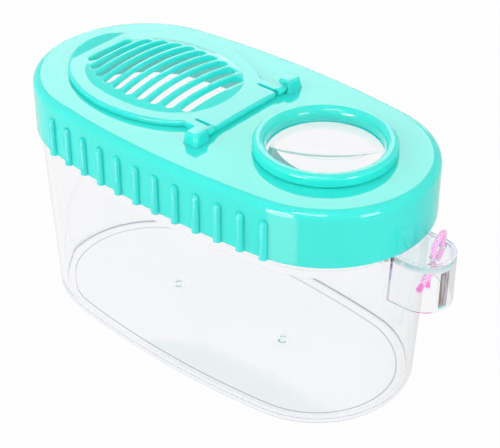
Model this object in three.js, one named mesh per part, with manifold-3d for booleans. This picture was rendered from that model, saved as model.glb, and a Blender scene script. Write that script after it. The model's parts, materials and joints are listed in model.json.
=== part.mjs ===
// A child's bug jar: a clear oval tank, a lift-off lid with a ventilated hatch, a magnifying
// lens in its ring, and a knotted cord loop on the tank's end lug. Millimetres, +Z up,
// +X towards the lens and the lug, origin at the centre of the tank's flat underside.
import * as THREE from 'three';
import { mergeVertices } from 'three/addons/utils/BufferGeometryUtils.js';
import Module from 'manifold-3d';

const wasm = await Module();
wasm.setup();

// Whole jar
const jarHeight = 83.1; // tank underside to lid top
const restGap = 0.3; // between pieces that rest on each other
const overrun = 2; // how far a cutting solid runs past what it cuts
const endSteps = 16;
const sideSteps = 6;

// Lid
const lidLength = 150;
const lidWidth = 77.2;
const lidEndEase = 2.8; // how much less than half the width the end arcs' radius is
const skirtHeight = 19.2;
const lidWall = 2.2;
const roofThickness = 2.2;
const lidEdgeRound = 2.65;
const edgeSteps = 3;

// Grip ribs on the lid's long sides
const ribPitch = 8.18;
const ribOverlap = 2.5; // how far past the side arc's end the outermost rib may be
const ribRadius = 1.45;
const ribDrop = 5.7; // lid top to the rib's rounded top
const ribSides = 12;
const ribDomeSteps = 2;

// Tank
const lidFit = 0.35; // between the tank's neck and the lid's skirt
const ledgeWidth = 1.15;
const ledgeDrop = 2; // skirt's lower edge to the ledge
const neckWall = 1.7;
const tankWall = 1.8;
const floorThickness = 2;
const baseRound = 1.2;
const floorRound = 2;
const shoulderSlope = 3; // height over which the inside steps in to the neck
const taperLength = 3; // how much nearer the middle each end is at the base
const taperWidth = 1.55; // the same for each long side
const taperEndRadius = 1.3; // how much smaller the end radius is at the base

// Lug on the tank's end
const lugWidth = 18.4;
const lugLength = 12.8; // lid's end to the lug's tip
const lugHeight = 17;
const lugWall = 1.5;
const lugPlate = 1.8;
const lugRecess = 0.6;
const lugSteps = 12;
const cordHoleRadius = 1.25;
const nearHole = { out: 3.1, side: -0.8 }; // from the middle of the lug's round
const farHole = { out: 1.6, side: 6.2 };

// Hatch
const hatchInset = 11; // lid's end to the hatch's tip
const hatchHalfWidth = 27.3;
const hatchThickness = 1.8;
const hatchEdgeRound = 0.9;
const hatchSteps = 48;
const lipLength = 5.2; // from the hatch's end to the fold
const lipTilt = 0.26; // radians
const plugWall = 1.6;
const plugDepth = 2.9;
const plugFit = 0.5; // between the plug and the lid's opening

// Hatch grille
const domeEndInset = 8.8; // from the hatch's tip
const domeSideInset = 5.4; // from the hatch's long edge
const domePower = 2.35; // 2 is an ellipse, more is squarer
const domeRise = 3.4;
const domeThickness = 1.6;
const domeRings = 5;
const slotPitch = 5.13;
const slotRowMargin = 1.5; // what the row of slots leaves free of the dome's length
const slotWidth = 3.7;
const slotRowShift = -2; // row's middle from the hatch's middle
const slotFieldShift = 0.8; // middle of the oval that the slots fill, likewise
const slotFieldReach = 2.8; // how far that oval runs past the dome's ends
const slotFieldInset = 3; // from the dome's long edge
const slotEndSteps = 6;

// Hinge
const hingeGap = 9.8; // hinge's axis to the lens ring's flange
const plateOverhang = 0.7; // how far the plate's oval would reach past the axis
const hingeLedge = 0.5; // plate's edge beyond the axis
const barrelRadius = 1.3;
const pinRadius = 1.1;
const pinLength = 2.9;
const pinFit = 0.25;
const pinSides = 16;
const armInner = 15.5; // slit's outer side to the jar's middle plane
const armWidth = 3.1;
const armLength = 11.5;
const armFillet = 1.9;
const slitWidth = 1;
const slitLength = 7.6;
const earBehind = 3.3; // ear's back to the hinge's axis
const earLength = 5.7;
const earWidth = 6.8;
const earHeight = 4.1;
const earRound = 0.9;
const earCorner = 1.35;
const earSteps = 3;
const mouthHeight = 1.9; // snap slot into the ear's socket

// Lens and its ring
const lensInset = 35.5; // lid's end to the lens's middle
const apertureRadius = 18.2;
const flangeWidth = 4.2; // from the aperture to the flange's edge
const ringHeight = 4;
const crestWidth = 2.2; // from the aperture to the crest
const spigotWall = 2.7;
const spigotDepth = 3.4;
const ringFit = 0.3;
const ringFoot = 0.4; // small round under the flange
const apertureSlope = 1.2; // height where the mouth narrows to the aperture
const seatDepth = 1.3; // groove for the lens's edge, into the spigot's wall
const seatTop = -0.2; // seat groove's top, from the lid top
const seatHeight = 2.1;
const lensRise = 3.1;
const lensSteps = 6;
const roundSides = 48;

// Cord loop, with its centreline from the knot up through a hole, over, and down again
const cordRadius = 0.9;
const cordSteps = 30;
const cordSides = 8;
const holeSides = 16;
const loopRoute = [
  [80.8, 0.1, 57.7],
  [81.7, -0.8, 60.6],
  [81.7, -0.8, 63],
  [81.7, -0.8, 65.8],
  [81.9, -0.5, 67.1],
  [82, 0.2, 68.3],
  [81.9, 1.4, 69],
  [81.7, 2.7, 69.3],
  [81.3, 4.1, 69],
  [81, 5.2, 68.3],
  [80.5, 5.9, 67.1],
  [80.2, 6.2, 65.8],
  [80.2, 6.2, 63],
  [80.2, 6.2, 60.6],
  [80.2, 3.5, 57.7],
];

// Cord knot and its frayed tails
const knotHalfLength = 2.4;
const knotHalfWidth = 3.1;
const knotHalfHeight = 2.2;
const knotSteps = 14;
const knotMiddle = { out: 1.3, side: 1.4, drop: 7.9 }; // from the lug's round, and below its plate
const tailTips = [
  { out: 0.1, side: -2.7, drop: 13.3 },
  { out: 1.6, side: -0.2, drop: 12.8 },
];
const tailRootRadius = 0.7;
const tailTipRadius = 1.05;

const lidTop = jarHeight;
const skirtBottom = lidTop - skirtHeight;
const roofUnder = lidTop - roofThickness;
const neckTop = roofUnder - restGap;
const ledgeZ = skirtBottom - ledgeDrop;
const lugTop = skirtBottom - restGap;
const plateTop = lugTop - lugRecess;
const lugMiddleX = lidLength / 2 + lugLength - lugWidth / 2;
const hatchUnder = lidTop + restGap;
const hatchTop = hatchUnder + hatchThickness;
const hingeZ = hatchUnder + barrelRadius;
const armOuter = armInner + armWidth;
const earInner = armOuter + restGap;
const lensMiddle = lidLength / 2 - lensInset;
const ringFlangeRadius = apertureRadius + flangeWidth;
const crestRadius = apertureRadius + crestWidth;
const spigotRadius = apertureRadius + spigotWall;
const seatRadius = apertureRadius + seatDepth;
const lensEdgeRadius = seatRadius - restGap;
const lensFaceRadius = apertureRadius - restGap;
const hingeX = lensMiddle - ringFlangeRadius - hingeGap;
const hatchTipX = hatchInset - lidLength / 2;
const hatchHalfLength = (hingeX + plateOverhang - hatchTipX) / 2;
const hatchMiddle = hatchTipX + hatchHalfLength;
const domeHalfLength = hatchHalfLength - domeEndInset;
const domeHalfWidth = hatchHalfWidth - domeSideInset;
const slotFieldHalfLength = domeHalfLength + slotFieldReach;
const slotFieldHalfWidth = domeHalfWidth - slotFieldInset;
const slotCount = Math.floor((2 * domeHalfLength - slotRowMargin) / slotPitch);
const lipChordX = hatchTipX + lipLength;
const armRootX = hingeX - armLength;
const slitRootX = hingeX - slitLength;
const earX = hingeX - earBehind;

const turquoise = new THREE.MeshStandardMaterial({ color: 0x47e9da, roughness: 0.22, metalness: 0 });
const clearPlastic = new THREE.MeshStandardMaterial({
  color: 0xf2f4f8, roughness: 0.06, metalness: 0, transparent: true, opacity: 0.3,
});
const lensPlastic = new THREE.MeshStandardMaterial({
  color: 0xf6f8fb, roughness: 0.03, metalness: 0, transparent: true, opacity: 0.3,
});
const pinkBraid = new THREE.MeshStandardMaterial({ color: 0xff9fdc, roughness: 0.85, metalness: 0 });

// Solids for joining and cutting

function toSolid(geometry) {
  const bare = geometry.clone();
  bare.deleteAttribute('normal');
  bare.deleteAttribute('uv');
  const merged = mergeVertices(bare);
  return new wasm.Manifold(new wasm.Mesh({
    numProp: 3,
    vertProperties: new Float32Array(merged.attributes.position.array),
    triVerts: new Uint32Array(merged.index.array),
  }));
}

function toGeometry(solid) {
  const mesh = solid.getMesh();
  const geometry = new THREE.BufferGeometry();
  geometry.setAttribute('position', new THREE.BufferAttribute(mesh.vertProperties, mesh.numProp));
  geometry.setIndex(new THREE.BufferAttribute(mesh.triVerts, 1));
  geometry.computeVertexNormals();
  return geometry;
}

// Outlines, as lists of points counter-clockwise from above

// Middle of an oval's end arc, and the radius and middle of its flatter side arc.
function ovalArcs({ halfLength, halfWidth, endRadius }) {
  const endX = halfLength - endRadius;
  const sideRadius = (endX ** 2 + halfWidth ** 2 - endRadius ** 2) / (2 * (halfWidth - endRadius));
  return { endX, sideRadius, sideY: sideRadius - halfWidth };
}

// Oval of four arcs that meet in tangents: two ends and two flatter sides.
function ovalOutline(oval, inset = 0) {
  const { endRadius } = oval;
  const { endX, sideRadius, sideY } = ovalArcs(oval);
  const lean = Math.atan2(endX, sideY);
  const endTurn = Math.PI / 2 - lean;
  const arcs = [
    [endX, 0, endRadius, -endTurn, endTurn, endSteps],
    [0, -sideY, sideRadius, endTurn, Math.PI - endTurn, sideSteps],
    [-endX, 0, endRadius, Math.PI - endTurn, Math.PI + endTurn, endSteps],
    [0, sideY, sideRadius, Math.PI + endTurn, 2 * Math.PI - endTurn, sideSteps],
  ];
  return arcs.flatMap(([x, y, radius, start, end, steps]) => {
    const arc = new THREE.EllipseCurve(x, y, radius - inset, radius - inset, start, end);
    return arc.getPoints(steps).slice(0, steps);
  });
}

function ellipseOutline(middleX, halfLength, halfWidth, steps) {
  const ellipse = new THREE.EllipseCurve(middleX, 0, halfLength, halfWidth, 0, 2 * Math.PI);
  return ellipse.getPoints(steps).slice(0, steps);
}

// Outline of the grille drawn in by an inset: an ellipse with fuller quarters.
function grilleOutline(inset, share = 1) {
  const power = 2 / domePower;
  return ellipseOutline(0, 1, 1, hatchSteps).map(({ x, y }) => new THREE.Vector2(
    hatchMiddle + share * (domeHalfLength - inset) * Math.sign(x) * Math.abs(x) ** power,
    share * (domeHalfWidth - inset) * Math.sign(y) * Math.abs(y) ** power,
  ));
}

// Rectangle with rounded corners.
function blockOutline(fromX, toX, fromY, toY, round) {
  const corners = [[toX, toY], [fromX, toY], [fromX, fromY], [toX, fromY]];
  return corners.flatMap(([x, y], i) => {
    const middleX = x === toX ? x - round : x + round;
    const middleY = y === toY ? y - round : y + round;
    const start = i * Math.PI / 2;
    const corner = new THREE.EllipseCurve(middleX, middleY, round, round, start, start + Math.PI / 2);
    return corner.getPoints(earSteps);
  });
}

function ringAt(outline, z) {
  return outline.map(({ x, y }) => new THREE.Vector3(x, y, z));
}

// Closed body through a list of rings with equal counts, capped at the first and the last.
// Going from ring to ring, the material is on the left of the way round.
function loft(rings) {
  const count = rings[0].length;
  const points = rings.flat();
  const faces = [];
  for (let level = 0; level < rings.length - 1; level += 1) {
    for (let i = 0; i < count; i += 1) {
      const a = level * count + i;
      const b = level * count + (i + 1) % count;
      faces.push(a, b, b + count, a, b + count, a + count);
    }
  }
  const middleOf = (ring) => ring.reduce((sum, p) => sum.add(p), new THREE.Vector3()).divideScalar(count);
  const last = (rings.length - 1) * count;
  points.push(middleOf(rings[0]), middleOf(rings[rings.length - 1]));
  for (let i = 0; i < count; i += 1) {
    const next = (i + 1) % count;
    faces.push(points.length - 2, next, i);
    faces.push(points.length - 1, last + i, last + next);
  }
  const geometry = new THREE.BufferGeometry();
  geometry.setFromPoints(points);
  geometry.setIndex(faces);
  return geometry;
}

function upright(shape, from, to, curveSegments = 12) {
  const depth = to - from;
  const geometry = new THREE.ExtrudeGeometry(shape, { depth, bevelEnabled: false, curveSegments });
  geometry.translate(0, 0, from);
  return geometry;
}

// Cylinder along Y between two places.
function crossPin(x, z, radius, fromY, toY, sides) {
  const geometry = new THREE.CylinderGeometry(radius, radius, toY - fromY, sides);
  geometry.translate(x, (fromY + toY) / 2, z);
  return geometry;
}

// Upright body of one outline between two heights.
function column(outline, from, to) {
  return toSolid(loft([ringAt(outline, from), ringAt(outline, to)]));
}

// Upright block between two corners.
function block(fromX, toX, fromY, toY, fromZ, toZ) {
  const geometry = new THREE.BoxGeometry(toX - fromX, toY - fromY, toZ - fromZ);
  geometry.translate((fromX + toX) / 2, (fromY + toY) / 2, (fromZ + toZ) / 2);
  return toSolid(geometry);
}

// Tank

const lidOutline = {
  halfLength: lidLength / 2, halfWidth: lidWidth / 2, endRadius: lidWidth / 2 - lidEndEase,
};
const neckInset = lidWall + lidFit;
const bodyInset = neckInset - ledgeWidth;

// The body's outline at a height: the lid's outline drawn in, and tapered towards the base.
function bodyOutline(z) {
  const share = 1 - z / ledgeZ;
  return {
    halfLength: lidOutline.halfLength - bodyInset - taperLength * share,
    halfWidth: lidOutline.halfWidth - bodyInset - taperWidth * share,
    endRadius: lidOutline.endRadius - bodyInset - taperEndRadius * share,
  };
}

// Quarter round as [inset, height] steps, from flat to upright.
function quarterRound(radius, steps) {
  return Array.from({ length: steps + 1 }, (_, i) => {
    const turn = (Math.PI / 2) * (i / steps);
    return [radius * (1 - Math.sin(turn)), radius * (1 - Math.cos(turn))];
  });
}

function tankOutside() {
  const body = quarterRound(baseRound, edgeSteps).map(([inset, z]) => (
    ringAt(ovalOutline(bodyOutline(z), inset), z)));
  return [
    ...body,
    ringAt(ovalOutline(bodyOutline(ledgeZ)), ledgeZ),
    ringAt(ovalOutline(lidOutline, neckInset), ledgeZ),
    ringAt(ovalOutline(lidOutline, neckInset), neckTop),
  ];
}

// Cavity rings from the floor up.
function tankInside(top) {
  const slopeFoot = ledgeZ - shoulderSlope;
  const floor = quarterRound(floorRound, edgeSteps).map(([inset, z]) => (
    ringAt(ovalOutline(bodyOutline(z + floorThickness), inset + tankWall), z + floorThickness)));
  return [
    ...floor,
    ringAt(ovalOutline(bodyOutline(slopeFoot), tankWall), slopeFoot),
    ringAt(ovalOutline(lidOutline, neckInset + neckWall), ledgeZ),
    ringAt(ovalOutline(lidOutline, neckInset + neckWall), top),
  ];
}

// D-shaped outline of the lug: straight sides and a half-round tip.
function lugShape(inset) {
  const radius = lugWidth / 2 - inset;
  const rootX = lidOutline.halfLength - lidOutline.endRadius;
  const shape = new THREE.Shape();
  shape.moveTo(rootX, -radius);
  shape.lineTo(lugMiddleX, -radius);
  shape.absarc(lugMiddleX, 0, radius, -Math.PI / 2, Math.PI / 2);
  shape.lineTo(rootX, radius);
  return shape;
}

function cordHole({ out, side }) {
  const shape = new THREE.Shape();
  shape.absarc(lugMiddleX + out, side, cordHoleRadius, 0, 2 * Math.PI);
  return toSolid(upright(shape, plateTop - lugPlate - overrun, lugTop + overrun, holeSides));
}

function tankGeometry() {
  const shell = toSolid(loft([...tankOutside(), ...tankInside(neckTop).reverse()]));
  const cavity = toSolid(loft(tankInside(neckTop + overrun)));
  const lugFoot = lugTop - lugHeight;
  const plateUnder = plateTop - lugPlate;
  const lug = toSolid(upright(lugShape(0), lugFoot, lugTop, lugSteps))
    .subtract(toSolid(upright(lugShape(lugWall), lugFoot - overrun, plateUnder, lugSteps)))
    .subtract(toSolid(upright(lugShape(lugWall), plateTop, lugTop + overrun, lugSteps)))
    .subtract(cordHole(nearHole))
    .subtract(cordHole(farHole))
    .subtract(cavity);
  return toGeometry(shell.add(lug));
}

// Lid

function lidShell() {
  const edge = quarterRound(lidEdgeRound, edgeSteps).reverse().map(([inset, drop]) => (
    ringAt(ovalOutline(lidOutline, inset), lidTop - drop)));
  return toSolid(loft([
    ringAt(ovalOutline(lidOutline, lidWall), roofUnder),
    ringAt(ovalOutline(lidOutline, lidWall), skirtBottom),
    ringAt(ovalOutline(lidOutline), skirtBottom),
    ...edge,
  ]));
}

// One upright rib with a domed top, centred on the skirt's face.
function gripRib(x, side) {
  const { sideRadius, sideY } = ovalArcs(lidOutline);
  const faceY = Math.sqrt(sideRadius ** 2 - x ** 2) - sideY;
  const top = skirtHeight - ribDrop;
  const dome = new THREE.EllipseCurve(0, top - ribRadius, ribRadius, ribRadius, 0, Math.PI / 2);
  const rib = new THREE.LatheGeometry([
    new THREE.Vector2(0, 0),
    new THREE.Vector2(ribRadius, 0),
    ...dome.getPoints(ribDomeSteps).slice(0, -1),
    new THREE.Vector2(0, top),
  ], ribSides);
  rib.rotateX(Math.PI / 2);
  rib.translate(x, side * faceY, skirtBottom);
  return toSolid(rib);
}

// Ear beside the hatch's arm, with a blind socket for the pin and its snap mouth towards -X.
function hingeEar(side) {
  const sideSpan = (near, far) => [side * near, side * far].sort((a, b) => a - b);
  const [fromY, toY] = sideSpan(earInner, earInner + earWidth);
  const [socketFrom, socketTo] = sideSpan(earInner - overrun, earInner + pinLength + restGap);
  const corner = (inset, z) => ringAt(
    blockOutline(earX + inset, earX + earLength - inset, fromY + inset, toY - inset, earCorner - inset), z,
  );
  const top = quarterRound(earRound, earSteps).reverse().map(([inset, drop]) => (
    corner(inset, lidTop + earHeight - drop)));
  const socket = crossPin(hingeX, hingeZ, pinRadius + pinFit, socketFrom, socketTo, pinSides);
  const mouthFoot = hingeZ - mouthHeight / 2;
  const mouth = block(earX - overrun, hingeX, socketFrom, socketTo, mouthFoot, mouthFoot + mouthHeight);
  return toSolid(loft([corner(0, lidTop - roofThickness / 2), ...top]))
    .subtract(toSolid(socket)).subtract(mouth);
}

function lidGeometry() {
  let lid = lidShell();
  const { endX, sideRadius, sideY } = ovalArcs(lidOutline);
  const sideEndX = sideRadius * endX / Math.hypot(endX, sideY);
  const ribCount = 1 + Math.floor(2 * (sideEndX + ribOverlap) / ribPitch);
  for (let i = 0; i < ribCount; i += 1) {
    const x = (i - (ribCount - 1) / 2) * ribPitch;
    lid = lid.add(gripRib(x, -1)).add(gripRib(x, 1));
  }
  lid = lid.subtract(column(ovalOutline(lidOutline, lidWall), skirtBottom - overrun, roofUnder));
  const opening = grilleOutline(-plugWall - plugFit);
  const boreRadius = spigotRadius + ringFit;
  const bore = ellipseOutline(lensMiddle, boreRadius, boreRadius, roundSides);
  for (const outline of [opening, bore]) {
    lid = lid.subtract(column(outline, roofUnder - overrun, lidTop + overrun));
  }
  return toGeometry(lid.add(hingeEar(-1)).add(hingeEar(1)));
}

// Hatch

// Plate's outline: an ellipse with two arms towards the hinge.
function plateShape() {
  const turn = Math.acos((armRootX - hatchMiddle) / hatchHalfLength);
  const shape = new THREE.Shape();
  shape.moveTo(hingeX, -armOuter);
  shape.lineTo(hingeX, armOuter);
  shape.lineTo(armRootX + armFillet, armOuter);
  shape.absellipse(hatchMiddle, 0, hatchHalfLength, hatchHalfWidth, turn, 2 * Math.PI - turn);
  shape.lineTo(armRootX + armFillet, -armOuter);
  return shape;
}

// Plate with a rounded upper edge and its finger lip turned up about the chord.
function hatchPlate() {
  const rounded = new THREE.ExtrudeGeometry(plateShape(), {
    depth: hatchThickness - hatchEdgeRound,
    curveSegments: hatchSteps,
    bevelThickness: hatchEdgeRound,
    bevelSize: hatchEdgeRound,
    bevelOffset: -hatchEdgeRound,
    bevelSegments: 2,
  });
  rounded.translate(0, 0, hatchUnder);
  const reach = hatchHalfLength + overrun;
  const whole = toSolid(rounded).subtract(block(
    hatchMiddle - reach, hatchMiddle + reach, -reach, reach, hatchUnder - reach, hatchUnder,
  ));
  const beyond = block(hatchMiddle - reach, lipChordX, -reach, reach, hatchUnder - reach, hatchTop + reach);
  const lip = toGeometry(whole.intersect(beyond));
  lip.translate(-lipChordX, 0, -hatchUnder);
  lip.rotateY(lipTilt);
  lip.translate(lipChordX, 0, hatchUnder);
  return whole.subtract(beyond).add(toSolid(lip));
}

function grilleDome(inset, drop) {
  const rings = Array.from({ length: domeRings }, (_, i) => {
    const share = 1 - i / domeRings;
    return ringAt(grilleOutline(inset, share), hatchTop - drop + domeRise * (1 - share ** 2));
  });
  return toSolid(loft([ringAt(grilleOutline(inset), hatchUnder - drop), ...rings]));
}

function ventSlot(index) {
  const x = hatchMiddle + slotRowShift + ((slotCount - 1) / 2 - index) * slotPitch;
  const share = (x - hatchMiddle - slotFieldShift) / slotFieldHalfLength;
  const reach = slotFieldHalfWidth * Math.sqrt(1 - share ** 2) - slotWidth / 2;
  const shape = new THREE.Shape();
  shape.absarc(x, reach, slotWidth / 2, 0, Math.PI);
  shape.absarc(x, -reach, slotWidth / 2, Math.PI, 2 * Math.PI);
  return toSolid(upright(shape, hatchUnder - overrun, hatchTop + domeRise + overrun, slotEndSteps));
}

// Spring arm's end: a round barrel with the hinge pin on its outer side.
function hingeArm(side) {
  const barrelY = [side * armInner, side * armOuter].sort((a, b) => a - b);
  const pinY = [side * armInner, side * (earInner + pinLength)].sort((a, b) => a - b);
  return toSolid(crossPin(hingeX, hingeZ, barrelRadius, ...barrelY, pinSides))
    .add(toSolid(crossPin(hingeX, hingeZ, pinRadius, ...pinY, pinSides)));
}

function hatchGeometry() {
  const slitOuter = armInner;
  const slitInner = armInner - slitWidth;
  let hatch = hatchPlate();
  for (const fromY of [-slitOuter, slitInner]) {
    hatch = hatch.subtract(block(
      slitRootX, hingeX + overrun, fromY, fromY + slitWidth, hatchUnder - overrun, hatchTop + overrun,
    ));
  }
  const plugFoot = hatchUnder - plugDepth;
  hatch = hatch
    .add(block(slitRootX, hingeX + hingeLedge, -slitInner, slitInner, hatchUnder, hatchTop))
    .add(hingeArm(-1)).add(hingeArm(1))
    .add(column(grilleOutline(-plugWall), plugFoot, hatchTop))
    .add(grilleDome(0, 0))
    .subtract(column(grilleOutline(0), plugFoot - overrun, hatchUnder))
    .subtract(grilleDome(domeThickness, domeThickness));
  for (let i = 0; i < slotCount; i += 1) {
    hatch = hatch.subtract(ventSlot(i));
  }
  return toGeometry(hatch);
}

// Lens and ring

function turned(profile) {
  const geometry = new THREE.LatheGeometry(profile.map(([r, z]) => new THREE.Vector2(r, z)), roundSides);
  geometry.rotateX(Math.PI / 2);
  geometry.translate(lensMiddle, 0, lidTop);
  return geometry;
}

function ringGeometry() {
  const outerRound = ringFlangeRadius - crestRadius;
  const innerRound = crestRadius - apertureRadius;
  const outer = new THREE.EllipseCurve(
    crestRadius, ringHeight - outerRound, outerRound, outerRound, 0, Math.PI / 2,
  ).getPoints(5);
  const inner = new THREE.EllipseCurve(
    crestRadius, apertureSlope, innerRound, ringHeight - apertureSlope, Math.PI / 2, Math.PI,
  ).getPoints(6).slice(1);
  const seatFoot = seatTop - seatHeight;
  const profile = [
    [apertureRadius, -spigotDepth],
    [spigotRadius, -spigotDepth],
    [spigotRadius, restGap],
    [ringFlangeRadius - ringFoot, restGap],
    [ringFlangeRadius, restGap + ringFoot],
    ...outer.map(({ x, y }) => [x, y]),
    ...inner.map(({ x, y }) => [x, y]),
    [apertureRadius, seatTop],
    [seatRadius, seatTop],
    [seatRadius, seatFoot],
    [apertureRadius, seatFoot],
    [apertureRadius, -spigotDepth],
  ];
  return turned(profile);
}

function lensGeometry() {
  const edgeTop = seatTop - restGap;
  const edgeFoot = seatTop - seatHeight + restGap;
  const bulge = (z, way) => Array.from({ length: lensSteps }, (_, i) => {
    const share = 1 - (i + 1) / lensSteps;
    return [lensFaceRadius * share, z + way * lensRise * (1 - share ** 2)];
  });
  return turned([
    ...bulge(edgeFoot, -1).reverse(),
    [lensFaceRadius, edgeFoot],
    [lensEdgeRadius, edgeFoot],
    [lensEdgeRadius, edgeTop],
    [lensFaceRadius, edgeTop],
    ...bulge(edgeTop, 1),
  ]);
}

// Cord

function cordGeometry() {
  const points = loopRoute.map((p) => new THREE.Vector3(...p));
  const route = new THREE.CatmullRomCurve3(points, false, 'centripetal');
  const round = new THREE.EllipseCurve(0, 0, cordRadius, cordRadius, 0, 2 * Math.PI);
  const section = new THREE.Shape(round.getPoints(cordSides).slice(0, cordSides));
  return new THREE.ExtrudeGeometry(section, { steps: cordSteps, extrudePath: route, curveSegments: 1 });
}

function knotGeometry() {
  const underLug = ({ out, side, drop }) => new THREE.Vector3(lugMiddleX + out, side, plateTop - drop);
  const middle = underLug(knotMiddle);
  const lump = new THREE.SphereGeometry(1, knotSteps, knotSteps / 2);
  lump.scale(knotHalfLength, knotHalfWidth, knotHalfHeight);
  lump.translate(middle.x, middle.y, middle.z);
  let knot = toSolid(lump);
  for (const tip of tailTips) {
    const way = underLug(tip).sub(middle);
    const tail = new THREE.CylinderGeometry(tailTipRadius, tailRootRadius, way.length(), cordSides);
    tail.translate(0, way.length() / 2, 0);
    const aim = way.clone().normalize();
    tail.applyQuaternion(new THREE.Quaternion().setFromUnitVectors(THREE.Object3D.DEFAULT_UP, aim));
    tail.translate(middle.x, middle.y, middle.z);
    knot = knot.add(toSolid(tail));
  }
  return toGeometry(knot);
}

const jar = new THREE.Group();

function place(name, geometry, material, parent) {
  const mesh = new THREE.Mesh(geometry, material);
  mesh.name = name;
  parent.add(mesh);
}

place('tank', tankGeometry(), clearPlastic, jar);
place('cord_loop', cordGeometry(), pinkBraid, jar);
place('cord_knot', knotGeometry(), pinkBraid, jar);

const lidGroup = new THREE.Group();
place('lid', lidGeometry(), turquoise, lidGroup);
place('lens_ring', ringGeometry(), turquoise, lidGroup);
place('lens', lensGeometry(), lensPlastic, lidGroup);
place('hatch', hatchGeometry(), turquoise, lidGroup);
jar.add(lidGroup);

export default jar;
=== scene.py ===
# Builds a child's bug jar: a clear tank with a lug and cord, and a turquoise lid with its hatch and lens.
import json
import math
import random

import bpy
import numpy as np
from bpy.props import FloatProperty, FloatVectorProperty, IntProperty, PointerProperty
from mathutils import Matrix, Vector
from mathutils.geometry import delaunay_2d_cdt

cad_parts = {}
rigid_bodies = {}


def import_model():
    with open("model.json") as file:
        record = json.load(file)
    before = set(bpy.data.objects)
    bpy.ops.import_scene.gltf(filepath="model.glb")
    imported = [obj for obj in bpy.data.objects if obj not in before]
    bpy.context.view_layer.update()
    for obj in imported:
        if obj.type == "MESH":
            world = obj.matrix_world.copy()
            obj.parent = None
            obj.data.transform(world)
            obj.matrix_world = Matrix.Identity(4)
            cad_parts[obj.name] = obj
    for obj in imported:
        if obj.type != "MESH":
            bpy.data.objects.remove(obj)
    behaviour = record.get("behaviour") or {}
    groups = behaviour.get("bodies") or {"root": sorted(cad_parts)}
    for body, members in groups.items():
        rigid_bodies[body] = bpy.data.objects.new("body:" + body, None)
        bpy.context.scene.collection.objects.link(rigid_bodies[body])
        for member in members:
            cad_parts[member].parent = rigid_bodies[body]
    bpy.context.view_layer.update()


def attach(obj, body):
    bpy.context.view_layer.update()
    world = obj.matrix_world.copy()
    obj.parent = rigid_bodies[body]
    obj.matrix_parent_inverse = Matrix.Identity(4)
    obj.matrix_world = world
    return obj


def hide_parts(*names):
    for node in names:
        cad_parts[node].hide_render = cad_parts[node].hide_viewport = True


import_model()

bl_info = {
    "name": "Bug Jar",
    "version": (1, 0, 0),
    "blender": (4, 5, 0),
    "location": "3D View > Sidebar > Bug Jar",
    "description": "Builds a clear bug jar with a ventilated hatch, a lens and a cord loop",
    "category": "Add Mesh",
}

# Sizes in millimetres, as in the solids
MM = 0.001
JAR_HEIGHT = 83.1
REST_GAP = 0.3
LID_HALF_LENGTH = 75.0
LID_HALF_WIDTH = 38.6
LID_END_RADIUS = 35.8
SKIRT_HEIGHT = 19.2
LID_WALL = 2.2
ROOF_THICKNESS = 2.2
LID_EDGE_ROUND = 2.65
RIB_DROP = 5.7
NECK_INSET = 2.55
NECK_WALL = 1.7
BODY_INSET = 1.4
TANK_WALL = 1.8
FLOOR_THICKNESS = 2.0
BASE_ROUND = 1.2
FLOOR_BEVEL = 1.3
LEDGE_DROP = 2.0
SHOULDER_SLOPE = 3.0
TAPER_LENGTH = 3.0
TAPER_WIDTH = 1.55
TAPER_END_RADIUS = 1.3
LUG_WIDTH = 18.4
LUG_HEIGHT = 17.0
LUG_WALL = 1.5
LUG_PLATE = 1.8
LUG_RECESS = 0.6
LUG_MIDDLE_X = 78.6
LUG_ROOT_X = 68.0
LUG_INSIDE_X = 63.0
CORD_HOLE_RADIUS = 1.25
CORD_HOLES = ((81.7, -0.8), (80.2, 6.2))
HATCH_MIDDLE = -28.0
HATCH_HALF_LENGTH = 36.0
HATCH_HALF_WIDTH = 27.3
HATCH_THICKNESS = 1.8
LIP_LENGTH = 5.2
LIP_TILT = 0.26
LIP_BEND = 1.5
PLUG_WALL = 1.6
PLUG_DEPTH = 2.9
PLUG_FIT = 0.5
DOME_HALF_LENGTH = 27.2
DOME_HALF_WIDTH = 21.9
DOME_POWER = 2.35
DOME_RISE = 3.26
DOME_THICKNESS = 1.6
SLOT_COUNT = 10
SLOT_PITCH = 5.13
SLOT_ROW_SHIFT = -2.0
SLOT_FIELD_SHIFT = 0.8
SLOT_FIELD_HALF_LENGTH = 30.0
SLOT_FIELD_HALF_WIDTH = 18.9
HINGE_X = 7.3
HINGE_LEDGE = 0.5
BARREL_RADIUS = 1.3
PIN_RADIUS = 1.1
PIN_LENGTH = 2.9
PIN_FIT = 0.25
ARM_INNER = 15.5
ARM_OUTER = 18.6
ARM_ROOT_X = -4.2
ARM_FILLET = 1.9
SLIT_WIDTH = 1.0
SLIT_ROOT_X = -0.3
EAR_BEHIND = 3.3
EAR_LENGTH = 5.7
EAR_WIDTH = 6.8
EAR_HEIGHT = 4.1
EAR_ROUND = 0.9
EAR_CORNER = (1.1, 1.6)
EAR_DRAFT = 0.4
MOUTH_HEIGHT = 1.9
LENS_MIDDLE = 39.5
FLANGE_RADIUS = 22.4
RING_HEIGHT = 4.0
CREST_RADIUS = 20.4
CREST_FLAT = 0.5
APERTURE_RADIUS = 18.2
SPIGOT_RADIUS = 20.9
SPIGOT_DEPTH = 3.4
RING_FIT = 0.3
RING_FOOT = 0.4
RING_DRAFT = 0.1
APERTURE_SLOPE = 1.2
SEAT_RADIUS = 19.5
SEAT_TOP = -0.2
SEAT_HEIGHT = 2.1
LENS_EDGE_RADIUS = 19.2
LENS_FACE_RADIUS = 17.9
LENS_RISE = 3.1
MARK_PLACES = ((-24.0, 0.0), (24.0, 0.0))
CORD_RADIUS = 0.9
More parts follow.
